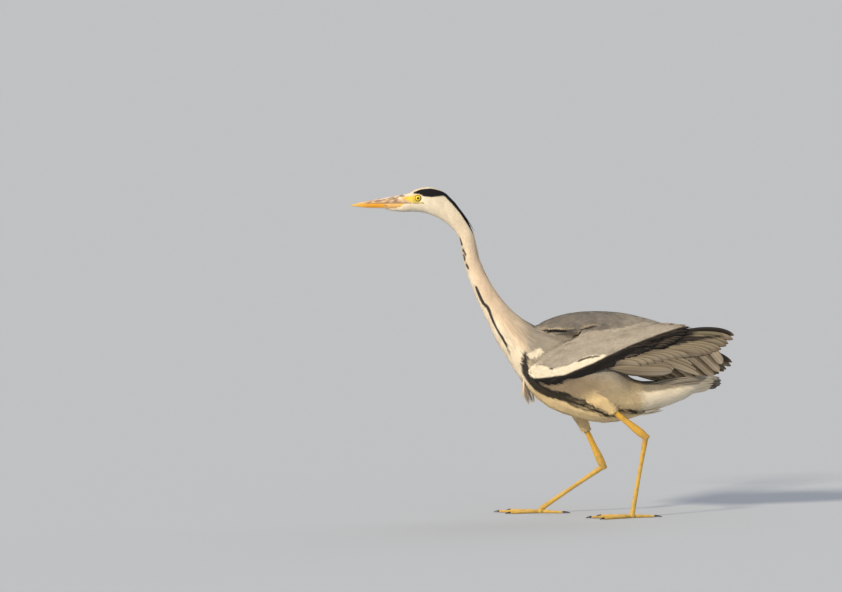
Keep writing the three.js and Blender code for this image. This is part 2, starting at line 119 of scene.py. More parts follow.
def make_stage():
    """A plain sky, and a floor whose lit tone is the sky's, so that no horizon shows."""
    world = bpy.data.worlds.new("studio")
    world.use_nodes = True
    world.node_tree.nodes["Background"].inputs["Color"].default_value = (*SKY, 1)
    bpy.context.scene.world = world
    bpy.context.scene.view_settings.view_transform = "Standard"
    bpy.ops.mesh.primitive_circle_add(vertices=64, radius=FLOOR_RADIUS, fill_type="TRIFAN")
    floor = bpy.context.object
    floor.name = "floor"
    material, tree, shader = new_material("floor")
    tone = np.array(SKY) / make_lights()
    put(tree, shader, {"Base Color": (*tone, 1), "Roughness": 1.0, "Specular IOR Level": 0})
    floor.data.materials.append(material)


# ---- materials

def new_material(name):
    material = bpy.data.materials.new(name)
    material.use_nodes = True
    return material, material.node_tree, material.node_tree.nodes["Principled BSDF"]


def put(tree, node, values):
    """Fills a node's inputs: another node's output is linked, and a value is set on the socket."""
    for name, value in values.items():
        if isinstance(value, bpy.types.NodeSocket):
            tree.links.new(value, node.inputs[name])
        else:
            node.inputs[name].default_value = value


def add(tree, kind, values, **settings):
    """Adds a node and gives its outputs."""
    node = tree.nodes.new("ShaderNode" + kind)
    for name, value in settings.items():
        setattr(node, name, value)
    put(tree, node, values)
    return node.outputs


def calc(tree, operation, *values):
    return add(tree, "Math", dict(enumerate(values)), operation=operation)[0]


def add_bump(tree, height, strength, distance):
    """Relief on a material's shader. distance is in mm."""
    bump = add(tree, "Bump", {"Height": height, "Strength": strength, "Distance": distance * MM})
    put(tree, tree.nodes["Principled BSDF"], {"Normal": bump["Normal"]})


def shaded_tint(tree, shade):
    """The mesh's painted tint, made lighter or darker."""
    tint = add(tree, "Attribute", {}, attribute_name="tint")["Color"]
    return add(tree, "VectorMath", {0: tint, "Scale": shade}, operation="SCALE")[0]


def tint_material(name, roughness, grain=0.12, grain_scale=900, bump=0.3, coat=0.0, specular=0.5):
    """The painted tint with fine mottling, and a grain in relief."""
    material, tree, shader = new_material(name)
    place = add(tree, "TexCoord", {})["Object"]
    noise = add(tree, "TexNoise", {"Vector": place, "Scale": grain_scale, "Detail": 3})["Fac"]
    shade = calc(tree, "MULTIPLY_ADD", noise, 2 * grain, 1 - grain)
    put(tree, shader, {
        "Base Color": shaded_tint(tree, shade), "Roughness": roughness, "Coat Weight": coat,
        "Coat Roughness": 0.05, "Specular IOR Level": specular,
    })
    if bump:
        add_bump(tree, noise, bump, 0.4)
    return material


def feather_material(name, roughness, barbs, shaft, fringe, specular=0.25, slant=0.9, relief=0.3):
    """A vane: its tint, with a shaft, a paler or darker edge, and barbs in relief, in mm.

    The map named Vane runs across a feather in u, and from root to tip in v.
    """
    material, tree, shader = new_material(name)
    split = add(tree, "SeparateXYZ", {0: add(tree, "UVMap", {}, uv_map="Vane")["UV"]})
    across = calc(tree, "ABSOLUTE", calc(tree, "SUBTRACT", split[0], 0.5))
    along = calc(tree, "ADD", split[1], calc(tree, "MULTIPLY", across, -slant))
    ripple = calc(tree, "SINE", calc(tree, "MULTIPLY", along, barbs))
    near_shaft = add(tree, "MapRange", {"Value": across, "From Min": 0.05, "From Max": 0.015})[0]
    near_edge = add(tree, "MapRange", {"Value": across, "From Min": 0.36, "From Max": 0.5})[0]
    shade = calc(tree, "MULTIPLY_ADD", near_shaft, shaft, 1.0)
    shade = calc(tree, "MULTIPLY_ADD", near_edge, fringe, shade)
    shade = calc(tree, "MULTIPLY_ADD", ripple, 0.05, shade)
    put(tree, shader, {
        "Base Color": shaded_tint(tree, shade), "Roughness": roughness, "Specular IOR Level": specular,
    })
    add_bump(tree, ripple, 0.25, relief)
    return material


# ---- helpers for shapes and values

def ramp(low, high, value):
    """0 below low and 1 above high, and smooth between. low may be the larger."""
    t = np.clip((np.asarray(value, float) - low) / (high - low), 0, 1)
    return t * t * (3 - 2 * t)


def unit(vectors):
    return vectors / np.maximum(np.linalg.norm(vectors, axis=-1, keepdims=True), 1e-9)


def flattened(ways, normals):
    """Directions laid down on the skin."""
    return unit(ways - (ways * normals).sum(1)[:, None] * normals)


def spline(points, count):
    """Evenly spaced points of a curve through the given ones."""
    p = np.asarray(points, float)
    p = np.vstack([2 * p[0] - p[1], p, 2 * p[-1] - p[-2]])
    fine = []
    for a, b, c, d in zip(p, p[1:], p[2:], p[3:]):
        t = np.linspace(0, 1, 24, endpoint=False)[:, None]
        fine.append(
            0.5 * (2 * b + (c - a) * t + (2 * a - 5 * b + 4 * c - d) * t**2 + (3 * b - a - 3 * c + d) * t**3)
        )
    fine = np.vstack(fine + [p[-2]])
    steps = np.r_[0, np.cumsum(np.linalg.norm(np.diff(fine, axis=0), axis=1))]
    at = np.linspace(0, steps[-1], count)
    return np.stack([np.interp(at, steps, column) for column in fine.T], 1)


def patches(points, size, seed):
    """Smooth random values from 0 to 1 over space, about size mm across."""
    waves = np.random.default_rng(seed).normal(size=(7, 3)) / size
    turns = np.random.default_rng(seed + 1).uniform(0, 2 * math.pi, 7)
    return 0.5 + 0.5 * np.sin(points @ waves.T * 2 + turns).mean(1) * 1.9


def line_distance(points, line):
    """Distance from points to a line, both as (x, z), and the share of its length there."""
    line = np.asarray(line, float)
    best = np.full(len(points), 1e9)
    place = np.zeros(len(points))
    lengths = np.linalg.norm(np.diff(line, axis=0), axis=1)
    starts = np.r_[0, np.cumsum(lengths)] / lengths.sum()
    for i, (a, b) in enumerate(zip(line, line[1:])):
        share = np.clip(((points - a) @ (b - a)) / ((b - a) @ (b - a)), 0, 1)
        distance = np.linalg.norm(points - (a + share[:, None] * (b - a)), axis=1)
        nearer = distance < best
        best[nearer] = distance[nearer]
        place[nearer] = (starts[i] + share * (starts[i + 1] - starts[i]))[nearer]
    return best, place


def stroke(points, line, outer, inner):
    """1 within inner mm of a line, and 0 from outer mm on."""
    return ramp(outer, inner, line_distance(points, line)[0])


def level(line, x):
    """The height at x of a line of (x, z)."""
    xs, zs = zip(*line)
    return np.interp(x, xs, zs)


def side_view(points):
    """Where points show from the camera's side, as (x, z). Markings are laid out in this view."""
    return np.stack([points[:, 0], points[:, 2] - math.sin(CAMERA_ELEVATION) * np.abs(points[:, 1])], 1)


def layered(points, base, *layers):
    """Layers of (colour, amount) over a base colour or tint, for each of the points."""
    tint = np.broadcast_to(base, points.shape)
    for colour, amount in layers:
        tint = tint + (np.asarray(colour) - tint) * np.broadcast_to(amount, points.shape[:-1])[..., None]
    return tint


def mottled(tint, depth, points, size, seed):
    """A tint made lighter and darker in soft patches."""
    return tint * (1 - depth + 2 * depth * patches(points, size, seed))[:, None]


# ---- the bird's lines

# Middle line of head, neck and trunk as (x, z).
SPINE = [
    (-361, 630), (-320, 639), (-286, 648), (-262, 646), (-236, 632), (-213, 609), (-191, 573),
    (-182, 527), (-158, 468), (-124, 411), (-82, 361), (-26, 315), (15, 291), (60, 270),
    (105, 252), (141, 243), (180, 247), (249, 260), (288, 272), (330, 276),
]
EYE = (-291.2, 7.9, 652.2)
EYE_RADIUS = 9.0
LEADING_EDGE = [
    (-66, 297), (-56, 283), (-20, 287), (8, 291), (33, 302), (63, 314), (89, 327), (145, 353),
    (205, 376), (257, 391), (340, 388),
]
LEGS = {
    "left": [(6, -48, 300), (174, -60, 166), (147, -56, 8)],
    "right": [(0, 48, 292), (91, 58, 96), (-39, 54, 8)],
}
spine_points = spline([(x, 0, z) for x, z in SPINE], 90)
spine_ways = unit(np.gradient(spine_points, axis=0))


def nearest_on(line, points):
    """The number of the line's nearest point to each of the points."""
    return np.concatenate([
        np.linalg.norm(part[:, None] - line[None], axis=2).argmin(1)
        for part in np.array_split(points, max(1, len(points) // 5000))
    ])


def on_spine(points):
    """Each point's place along the spine from 0 to 1, the spine's direction, and the mm behind it."""
    nearest = nearest_on(spine_points, points * [1, 0, 1])
    ways = spine_ways[nearest]
    back = ((points - spine_points[nearest]) * np.cross(ways, [0, 1, 0])).sum(1)
    return nearest / (len(spine_points) - 1), ways, back


# ---- plumage colours

CREAM = (0.78, 0.645, 0.485)
WHITE = (0.79, 0.71, 0.565)
BUFF = (0.70, 0.53, 0.385)
NECK_GREY = (0.43, 0.37, 0.29)
BLACK = (0.012, 0.012, 0.015)
ASH = (0.325, 0.290, 0.245)
BACK = (0.165, 0.150, 0.135)
TAUPE = (0.285, 0.225, 0.150)
RUMP = (0.27, 0.235, 0.185)
# Painted shadow in the slit under the mantle's front edge.
SLIT_SHADOW = (0.02, 0.016, 0.014)
BELLY = (0.76, 0.59, 0.33)
SKIN_YELLOW = (0.80, 0.52, 0.03)
SKIN_GREEN = (0.46, 0.42, 0.12)
HORN = (0.60, 0.42, 0.27)

# The black brow band, the nape stripe, and the marks on throat, shoulder, breast and flank; at the shoulder
# also lines of painted shade and a painted highlight.
CROWN_TOP = [
    (-302, 661.5), (-299, 664.3), (-292, 667.4), (-285, 669.8), (-276, 670.8), (-266, 671.6), (-257, 670.2),
    (-249, 668), (-241, 665.4), (-234, 663), (-226, 658),
]
CROWN_UNDER = [
    (-302, 661.5), (-297, 660.4), (-290, 660), (-284, 658), (-280, 655), (-272, 654.4), (-264, 653.4),
    (-249, 654.5), (-236, 656.5), (-226, 656),
]
NAPE_STRIPE = [(-231, 661), (-217, 645), (-201, 624), (-188, 602), (-174, 577)]
GAPE_STREAK = [(-292, 641.6), (-287, 642.0), (-280.5, 641.0)]
WHITE_TOP = [(-62, 311), (-41, 309), (-15, 303), (15, 309), (35, 320), (48, 327), (65, 331), (88, 331)]
WHITE_SPOT = [(-61, 330), (-50, 332), (-42, 337)]
WRIST_STREAK = [(35, 317.5), (45, 322.5), (60, 326.5), (78, 328.5)]
WRIST_SPOT = [(-20, 302), (-17, 302)]
# Painted light at the shoulder: the slit's painted shadow, the fold's painted shade, and the edge's painted
# highlight.
SHOULDER_SLIT = [(24, 366), (38, 372), (45.5, 383), (62, 387), (73, 390)]
SHOULDER_FOLD = [(-36, 334), (-10, 348), (14, 360), (25, 368)]
SHOULDER_EDGE = [(14, 366), (26, 370), (36, 376), (42, 383), (49, 389), (62, 391), (76, 391)]
# Upper edge of the white under the tail.
UNDERTAIL_TOP = [(165, 256), (186, 255), (240, 264), (284, 270), (296, 279), (304, 288), (330, 296)]
THROAT_DASHES = [
    [(-206, 569), (-201, 556)], [(-199, 546), (-197, 542)], [(-195.5, 539), (-193.5, 535)],
    [(-198.5, 534), (-195.5, 531)], [(-196, 527), (-195, 524)], [(-192.5, 517), (-188.5, 508)],
]
THROAT_STREAK = [
    (-173, 471), (-168, 459), (-162.5, 446), (-156.5, 434.5), (-149, 428.5), (-144.5, 419), (-141, 409),
    (-137, 398), (-131, 386), (-125, 375), (-118.5, 366), (-113, 355.5), (-108.5, 345), (-104, 332),
]
STREAK_HALF = [1.8, 2.7, 2.9, 2.9, 2.9, 2.9, 2.6, 2.2, 1.6, 1.8, 2.6, 2.2, 1.4, 0.6]
FLANK_STRIPE = [
    (-71, 333), (-72, 320), (-73, 309), (-70, 297), (-60, 280), (-45, 263), (-20, 250), (8, 245), (30, 233),
    (55, 224), (80, 217), (102, 206), (125, 217), (150, 212), (182, 213),
]


def head_and_neck_tint(points):
    """White face, black brow bands and nape, buff neck, and black marks on the throat."""
    flat = side_view(points)
    x, z = flat.T
    side = np.abs(points[:, 1])
    along, _, back = on_spine(points)
    tint = layered(
        points, CREAM,
        (WHITE, ramp(0.30, 0.12, along)),
        (BUFF, 0.55 * ramp(0.2, 0.34, along) * ramp(-9, 4, back)),
        (NECK_GREY, 0.8 * ramp(0.36, 0.52, along) * ramp(-2, 15, back)),
        (WHITE, 0.8 * ramp(0.2, 0.3, along) * ramp(-7, -13, back)),
    )
    brow = ramp(-302, -300, x) * ramp(-226, -230, x) * ramp(-0.5, 0.7, level(CROWN_TOP, x) - z)
    brow = brow * ramp(-0.8, 0.6, z - level(CROWN_UNDER, x))
    off_nape, down_nape = line_distance(flat, NAPE_STRIPE)
    nape = 8 - 5.5 * down_nape
    off_streak, down_streak = line_distance(flat, THROAT_STREAK)
    streak = np.interp(down_streak, np.linspace(0, 1, len(STREAK_HALF)), STREAK_HALF)
    return layered(
        points, mottled(tint, 0.07, points, 14, 3),
        (BLACK, brow * ramp(3.5, 5.5, side + 8 * ramp(-250, -238, x))),
        (BLACK, ramp(nape + 0.8, nape - 0.6, off_nape) * ramp(0.99, 0.93, down_nape)),
        ((0.035, 0.025, 0.015), stroke(flat, GAPE_STREAK, 1.6, 0.7)),
        *[(BLACK, 0.95 * stroke(flat, dash, 2.6, 1.3) * ramp(1.5, 4.5, side)) for dash in THROAT_DASHES],
        (BLACK, 0.95 * ramp(streak + 0.9, streak - 0.5, off_streak)),
    )


def shoulder_shade_and_highlight(flat):
    """Painted light at the shoulder: painted shade along the fold before the mantle, a painted highlight on
    the pale rolled edge between mantle and wing, and painted shadow in the slit behind it.
    """
    return [
        ((0.15, 0.125, 0.10), 0.5 * stroke(flat, SHOULDER_FOLD, 3.4, 0.8)),
        ((0.50, 0.40, 0.25), 0.36 * stroke(flat, SHOULDER_EDGE, 3.0, 1.2)),
        ((0.03, 0.024, 0.02), stroke(flat, SHOULDER_SLIT, 2.0, 0.9)),
    ]


def flank_stripe(points, flat):
    """The black side stripe: ragged and broken towards its end."""
    distance, place = line_distance(flat, FLANK_STRIPE)
    half = np.interp(place, [0, 0.06, 0.12, 0.35, 0.5, 0.7, 1], [4, 7.5, 8.5, 8.5, 9, 8, 3])
    half = half + 5 * (patches(points * [1, 0, 2.2], 9, 11) - 0.5) * ramp(0.3, 0.6, place)
    broken = ramp(0.42, 0.6, place) * ramp(0.4, 0.75, patches(points * [0.3, 1, 1.6], 3.2, 12))
    stripe = ramp(half + 1.6, half - 1.6, distance) * (1 - 0.55 * broken)
    return 0.96 * stripe * (np.abs(points[:, 1]) > 12)


def trunk_tint(points):
    """Grey back, taupe flank, black side stripe, cream belly and white undertail."""
    flat = side_view(points)
    x, z = flat.T
    above = ramp(0, 9, z - level([(-73, 309), *FLANK_STRIPE[3:]], x))
    rise = z - level(UNDERTAIL_TOP, x)
    tint = layered(
        points, head_and_neck_tint(points),
        (BELLY, ramp(-85, -45, x) * ramp(285, 262, z)),
        (TAUPE, above * ramp(-66, -56, x)),
        ((0.42, 0.34, 0.22), above * ramp(60, 120, x)),
        (BELLY, 0.45 * ramp(70, 150, x) * ramp(262, 232, z)),
        (WHITE, 0.9 * ramp(156, 192, x + 10 * patches(points, 9, 7)) * ramp(3, -4, rise)),
        (RUMP, ramp(150, 180, x) * ramp(-2, 3, rise)),
        (ASH, ramp(-90, -50, x) * ramp(300, 340, z + 0.25 * (x + 60)) * ramp(150, 120, x)),
        (WHITE, stroke(flat, WHITE_SPOT, 8.5, 6)),
        # Painted shadow in the slit under the mantle's front edge, then painted shade and highlight at the
        # shoulder.
        (SLIT_SHADOW, in_slit(points)),
        *shoulder_shade_and_highlight(flat),
        (BLACK, flank_stripe(points, flat)),
    )
    return mottled(tint, 0.08, points, 22, 5)


def mantle_tint(points):
    x, _, z = points.T
    # Darker on top and at the front, lighter lower down the sides and further back: partly the mantle's own
    # darker grey, partly painted shade on its top.
    tint = layered(
        points, BACK, (ASH, 0.9 * ramp(60, 210, x)), (ASH, 0.5 * ramp(392, 384, z)),
        # Painted shadow in the slit, and painted shade and highlight at the shoulder.
        (SLIT_SHADOW, in_slit(points)), *shoulder_shade_and_highlight(side_view(points)),
    )
    return mottled(tint, 0.12, points, 15, 21)


def wing_tint(points):
    """Ash coverts, a white leading edge, and an under side painted near-black: its dark feathers, with
    painted shade under the wing.
    """
    flat = side_view(points)
    x, z = flat.T
    return layered(
        points, mottled(np.full(points.shape, ASH) * 1.08, 0.12, points * [0.5, 1, 1.6], 12, 31),
        (WHITE, ramp(1.5, -1.5, z - level(WHITE_TOP, x)) * ramp(96, 86, x)),
        (BLACK, 0.9 * stroke(flat, WRIST_STREAK, 2.8, 1.3)),
        (BLACK, stroke(flat, WRIST_SPOT, 3, 1.6)),
        # The under side below the leading edge, painted near-black: dark feathers, with painted shade under
        # the wing.
        ((0.035, 0.030, 0.026), ramp(0.5, -2.5, z - level(LEADING_EDGE[1:], x))),
        # Painted shade and highlight at the shoulder.
        *shoulder_shade_and_highlight(flat),
    )


def thigh_tint(points):
    """Warm cream, which starts where the thigh comes out of the flank."""
    x, z = side_view(points).T
    cream = mottled(np.full(points.shape, (0.69, 0.53, 0.29)), 0.08, points, 12, 41)
    out = ramp(266, 234, z + 0.3 * (55 - x) + 6 * patches(points, 8, 43))
    return layered(points, trunk_tint(points), (cream, out))


# ---- meshes

def finish_object(name, mesh, material, nodes=()):
    mesh.materials.append(material)
    mesh.shade_smooth()
    piece = add_object(name, mesh)
    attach(piece, "root")
    if nodes:
        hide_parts(*nodes)


def set_tint(mesh, tint):
    """Paints a colour on each vertex."""
    layer = mesh.color_attributes.new("tint", "FLOAT_COLOR", "POINT")
    layer.data.foreach_set("color", np.c_[np.clip(tint, 0, 1), np.ones(len(tint))].astype(np.float32).ravel())


def set_uv(mesh, name, values):
    mesh.uv_layers.new(name=name).data.foreach_set("uv", values.astype(np.float32).ravel())


def set_points(mesh, points):
    """Moves a mesh's points to places in bird millimetres."""
    mesh.vertices.foreach_set("co", to_row(points).astype(np.float32).ravel())


def mesh_from(name, points, quads):
    """A mesh in the row frame from bird millimetres and an array of four-cornered faces."""
    mesh = bpy.data.meshes.new(name)
    mesh.vertices.add(len(points))
    set_points(mesh, points)
    mesh.loops.add(quads.size)
    mesh.loops.foreach_set("vertex_index", quads.astype(np.int32).ravel())
    mesh.polygons.add(len(quads))
    mesh.polygons.foreach_set("loop_start", np.arange(0, quads.size, 4, dtype=np.int32))
    mesh.update(calc_edges=True)
    mesh.validate()
    return mesh


def grid_quads(sheets, rows, columns, closed=False):
    """Faces of sheets of rows by columns points, one sheet after the other."""
    across = columns if closed else columns - 1
    r, c = np.meshgrid(np.arange(rows - 1), np.arange(across), indexing="ij")
    a = (r * columns + c).ravel()
    b = (r * columns + (c + 1) % columns).ravel()
    one = np.stack([a, b, b + columns, a + columns], 1)
    return (np.arange(sheets)[:, None, None] * rows * columns + one).reshape(-1, 4)


def mesh_arrays(mesh):
    """A mesh's points in bird millimetres, its face corners, and its normals."""
    values = []
    for name in ("co", "normal"):
        flat = np.zeros(len(mesh.vertices) * 3)
        mesh.vertices.foreach_get(name, flat)
        values.append(flat.reshape(-1, 3))
    return to_bird(values[0]), [tuple(p.vertices) for p in mesh.polygons], values[1]


def fused(name, nodes, voxel, swell, smoothing, adjust=None):
    """One closed mesh over CAD nodes: each is adjusted and swollen, and they are melted together."""
    pile = bmesh.new()
    for node in nodes:
        part = bmesh.new()
        part.from_mesh(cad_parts[node].data)
        bmesh.ops.remove_doubles(part, verts=part.verts, dist=1e-6)
        part.normal_update()
        for vertex in part.verts:
            vertex.co += vertex.normal * swell * MM
            if adjust:
                vertex.co = to_row(adjust(node, to_bird(vertex.co)))
        copy = bpy.data.meshes.new(node)
        part.to_mesh(copy)
        pile.from_mesh(copy)
        bpy.data.meshes.remove(copy)
        part.free()
    mesh = bpy.data.meshes.new(name)
    pile.to_mesh(mesh)
    pile.free()
    piece = add_object(name, mesh)
    remesh = piece.modifiers.new("melt", "REMESH")
    remesh.mode = "VOXEL"
    remesh.voxel_size = voxel * MM
    smoother = piece.modifiers.new("smooth", "SMOOTH")
    smoother.factor = 0.5
    smoother.iterations = smoothing
    melted = bpy.data.meshes.new_from_object(piece.evaluated_get(bpy.context.evaluated_depsgraph_get()))
    bpy.data.objects.remove(piece)
    return melted


# ---- skin

FLESH = [
    "head", "neck_upper", "neck_middle", "neck_lower", "trunk", "mantle", "thigh_left", "thigh_right",
    "wing_left_coverts", "wing_right_coverts",
]
# Depth of the coat over the skin in mm.
COAT_DEPTH = {"head": 0.7, "neck": 1.6, "trunk": 3.0, "mantle": 2.6, "wing": 1.8, "thigh": 2.0}
SKIN_VOXEL = 2.6


def region_of(node):
    return node.split("_")[0]


def nearest_nodes(points):
    """The CAD node of flesh that is nearest to each point."""
    corners, faces, owner = [], [], []
    start = 0
    for number, node in enumerate(FLESH):
        points_of, polygons, _ = mesh_arrays(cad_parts[node].data)
        corners += points_of.tolist()
        faces += [[start + i for i in polygon] for polygon in polygons]
        owner += [number] * len(polygons)
        start += len(points_of)
    tree = BVHTree.FromPolygons(corners, faces)
    return np.array([owner[tree.find_nearest(p)[2]] for p in points.tolist()])


# The bare skin before and under the eye: its upper edge, and the line between yellow skin and horn.
LORE_TOP = [(-330, 648), (-321, 651), (-315, 654.3), (-308, 655.3), (-298, 658.2), (-291, 661)]
HORN_TOP = [(-330, 654), (-321, 650), (-308, 644), (-300, 641.5), (-291, 640.5)]
FEATHER_FRONT = -324


def bare_face(points):
    """How bare the face is, from 0 to 1: from the bill over the lores to a ring round the eye."""
    x, z = side_view(points).T
    above_gape = ramp(639.0, 639.6, z)
    lore = ramp(-293, -296, x) * ramp(0.3, -0.5, z - level(LORE_TOP, x)) * above_gape
    ring = ramp(7.7, 7.2, np.hypot(x - EYE[0], z - EYE[2] + 0.8))
    under = above_gape * ramp(646.5, 645, z + 0.25 * (x + 290)) * ramp(-280, -283, x) * (x > -330)
    return np.maximum(np.maximum(lore, ring), under) * (np.abs(points[:, 1]) > 4)


def face_tint(points, tint):
    """The bare face over a tint: yellow lores, greener under the eye, with horn and a dark gape below."""
    x, z = side_view(points).T
    yellow = layered(
        points, SKIN_YELLOW,
        (SKIN_GREEN, 0.75 * ramp(-304, -298, x) * ramp(651, 645, z)),
        ((0.42, 0.36, 0.22), 0.8 * ramp(2.2, 1.0, np.hypot(x + 300.5, z - 647))),
        ((0.45, 0.30, 0.06), 0.5 * ramp(0.55, 0.8, patches(points, 2.2, 81))),
    )
    face = layered(
        points, HORN,
        ((0.28, 0.17, 0.09), 0.5 * ramp(0.45, 0.7, patches(points, 2.0, 83))),
        (yellow, ramp(-0.6, 0.6, z - level(HORN_TOP, x))),
    )
    gape = ramp(1.1, 0.4, np.abs(z - 640.7)) * ramp(-322, -312, x) * ramp(-288, -290, x)
    return layered(points, tint, (face, bare_face(points)), ((0.06, 0.035, 0.02), 0.85 * gape))


def level_socket(point):
    """Brings the eyeball down to the face, so that the skin closes over the socket."""
    face = 13.4 + 0.155 * (point[0] - EYE[0]) - 0.16 * (point[2] - EYE[2])
    return np.array([point[0], math.copysign(min(abs(point[1]), face), point[1]), point[2]])


def tuck_thigh(node, point):
    """Slims a thigh's upper end and moves it in, so that the flank flows over it."""
    knee, ankle, _ = np.array(LEGS[node.split("_")[1]], float)
    share = ((point - knee) @ (ankle - knee)) / ((ankle - knee) @ (ankle - knee))
    upper = ramp(0.5, 0.05, share)
    centre = knee + share * (ankle - knee)
    moved = centre + (point - centre) * (1 - 0.25 * upper)
    return moved - [0, np.sign(knee[1]) * 17 * upper, 0]


def before_melting(node, point):
    if node.startswith("thigh"):
        return tuck_thigh(node, point)
    return level_socket(point) if node.startswith("eye") else point


def soften(points, mesh, weight, rounds):
    """Evens out points towards their neighbours, by each one's weight."""
    edges = np.zeros(len(mesh.edges) * 2, np.int32)
    mesh.edges.foreach_get("vertices", edges)
    a, b = edges.reshape(-1, 2).T
    degree = np.bincount(edges, minlength=len(points))[:, None]
    for _ in range(rounds):
        total = np.stack([
            np.bincount(a, points[b, k], len(points)) + np.bincount(b, points[a, k], len(points))
            for k in range(3)
        ], 1)
        points = points + (total / degree - points) * weight[:, None]
    return points


def near_pair(points, place, full, none):
    """1 within full mm of a place or its mirror image, and 0 from none mm on."""
    distances = [np.linalg.norm(points - np.array(place) * [1, y, 1], axis=1) for y in SIDES.values()]
    return ramp(none, full, np.min(distances, 0))


def in_slit(points, margin=0.0):
    """1 in the slit under the mantle's front edge, and 0 off it."""
    x, z = side_view(points).T
    half = 2.4 * np.sqrt(np.clip(1 - ((x + 12) / 24) ** 2, 0, 1)) + margin
    return ramp(half + 0.8, half - 0.8, np.abs(z - 379)) * (half > 0.1) * (np.abs(points[:, 1]) > 12)


def make_skin():
    mesh = fused("skin", FLESH + ["eye_left", "eye_right"], SKIN_VOXEL, 0.7, 6, before_melting)
    points, polygons, normals = mesh_arrays(mesh)
    owners = nearest_nodes(points)
    depth = np.array([COAT_DEPTH[region_of(node)] for node in FLESH])[owners] + 0.5
    depth = soften(np.repeat(depth[:, None], 3, 1), mesh, np.full(len(points), 0.5), 12)
    points = points - normals * depth
    x, _, z = points.T
    brow = 1.1 * ramp(-292, -304, x) * ramp(656, 662, z)
    sunk = 5 * in_slit(points) + 1.3 * ramp(-299, -318, x) * ramp(638, 641, z) + brow
    points = points - normals * sunk[:, None]
    winged = np.isin(owners, [FLESH.index(f"wing_{side}_coverts") for side in SIDES])
    points = soften(points, mesh, 0.5 * near_pair(points, (45, 60, 272), 25, 60) * ~winged, 50)
    points = soften(points, mesh, 0.5 * near_pair(points, (38, 48, 374), 10, 26), 20)
    points = soften(points, mesh, 0.5 * near_pair(points, (-313, 11, 648), 6, 12), 15)
    set_points(mesh, points)
    mesh.update()
    tint = coat_tint(points, owners)
    face = owners == 0
    tint[face] = face_tint(points[face], tint[face])
    set_tint(mesh, tint)
    material = tint_material("skin", 0.6, grain=0.1, grain_scale=700)
    finish_object("skin", mesh, material, FLESH)
    return Surface(points, polygons, owners)


def coat_tint(points, owners):
    """Plumage colour of points on the flesh nodes numbered in owners."""
    painters = {
        "head": head_and_neck_tint, "neck": trunk_tint, "trunk": trunk_tint, "mantle": mantle_tint,
        "wing": wing_tint, "thigh": thigh_tint,
    }
    tint = np.zeros((len(points), 3))
    for number, node in enumerate(FLESH):
        mine = owners == number
        if mine.any():
            tint[mine] = painters[region_of(node)](points[mine])
    return tint


# ---- coat

class Surface:
    """The skin, ready to be searched and sampled."""

    def __init__(self, points, polygons, owners):
        self.points = points
        self.polygons = np.array(polygons)
        self.tree = BVHTree.FromPolygons(points.tolist(), polygons)
        corner = points[self.polygons]
        self.middles = corner.mean(1)
        spans = np.cross(corner[:, 2] - corner[:, 0], corner[:, 3] - corner[:, 1])
        self.areas = np.linalg.norm(spans, axis=1) / 2
        self.normals = unit(spans)
        self.owners = owners[self.polygons[:, 0]]

    def project(self, points):
        """The nearest points of the skin and the normals there."""
        found = [self.tree.find_nearest(p) for p in points.tolist()]
        return np.array([f[0] for f in found]), np.array([f[1] for f in found])

    def owners_near(self, points):
        """The flesh nodes, by number, that the nearest skin belongs to."""
        return self.owners[[self.tree.find_nearest(p)[2] for p in points.tolist()]]

    def scatter(self, chosen, spacing, seed):
        """Random points of the chosen faces, about spacing apart, with their normals."""
        rng = np.random.default_rng(seed)
        faces = np.nonzero(chosen)[0]
        wanted = int(4 * self.areas[faces].sum() / spacing**2)
        picks = rng.choice(faces, wanted, p=self.areas[faces] / self.areas[faces].sum())
        s, t = rng.random((2, wanted, 1))
        a, b, c, d = np.moveaxis(self.points[self.polygons[picks]], 1, 0)
        points = (1 - t) * ((1 - s) * a + s * b) + t * ((1 - s) * d + s * c)
        cells = np.floor(points / (spacing * 1.02)).astype(np.int64)
        _, first = np.unique(cells @ [1, 5003, 5003**2], return_index=True)
        first = np.sort(first)
        return points[first], self.normals[picks[first]]


def vane_width(s, tip):
    """Share of a feather's width along it, from a narrow root to a round or pointed tip."""
    root = 0.35 + 0.65 * ramp(0, 0.35, s)
    end = np.sqrt(np.clip(1 - np.clip((s - tip) / (1 - tip), 0, 1) ** 2, 0, 1))
    return root * np.maximum(end, 0.12)


def grow(surface, roots, normals, ways, length, width, rows, columns, lift, tip=0.6, camber=0.12, seed=1,
         held=1.0):
    """Feathers from the roots along their ways, as points by feather, row and column.

    held is the share of a feather that follows the skin. The rest runs straight on and never up.
    """
    rng = np.random.default_rng(seed)
    count = len(roots)
    length = np.broadcast_to(length, count) * rng.uniform(0.85, 1.12, count)
    width = np.broadcast_to(width, count) * rng.uniform(0.88, 1.1, count)
    lowest = rng.uniform(0.0, 0.25, count)
    s = np.linspace(0, 1, rows)
    across = np.linspace(-1, 1, columns)
    place, normal, way = roots, normals, ways
    grid = np.zeros((count, rows, columns, 3))
    for k in range(rows):
        if k:
            way = way if s[k] <= held else unit(np.minimum(way, [1, 1, 0.05]))
            place = place + way * (length / (rows - 1))[:, None]
        if k and s[k] <= held:
            place, normal = surface.project(place)
            way = flattened(way, normal)
        side = np.cross(normal, way)
        half = (width / 2 * vane_width(s[k], tip))[:, None]
        height = lowest + lift * (0.12 + 0.88 * s[k] ** 0.8)
        rise = height[:, None] - camber * half * across**2
        out = side[:, None] * (half * across)[..., None] + normal[:, None] * rise[..., None]
        grid[:, k] = place[:, None] + out
    return grid


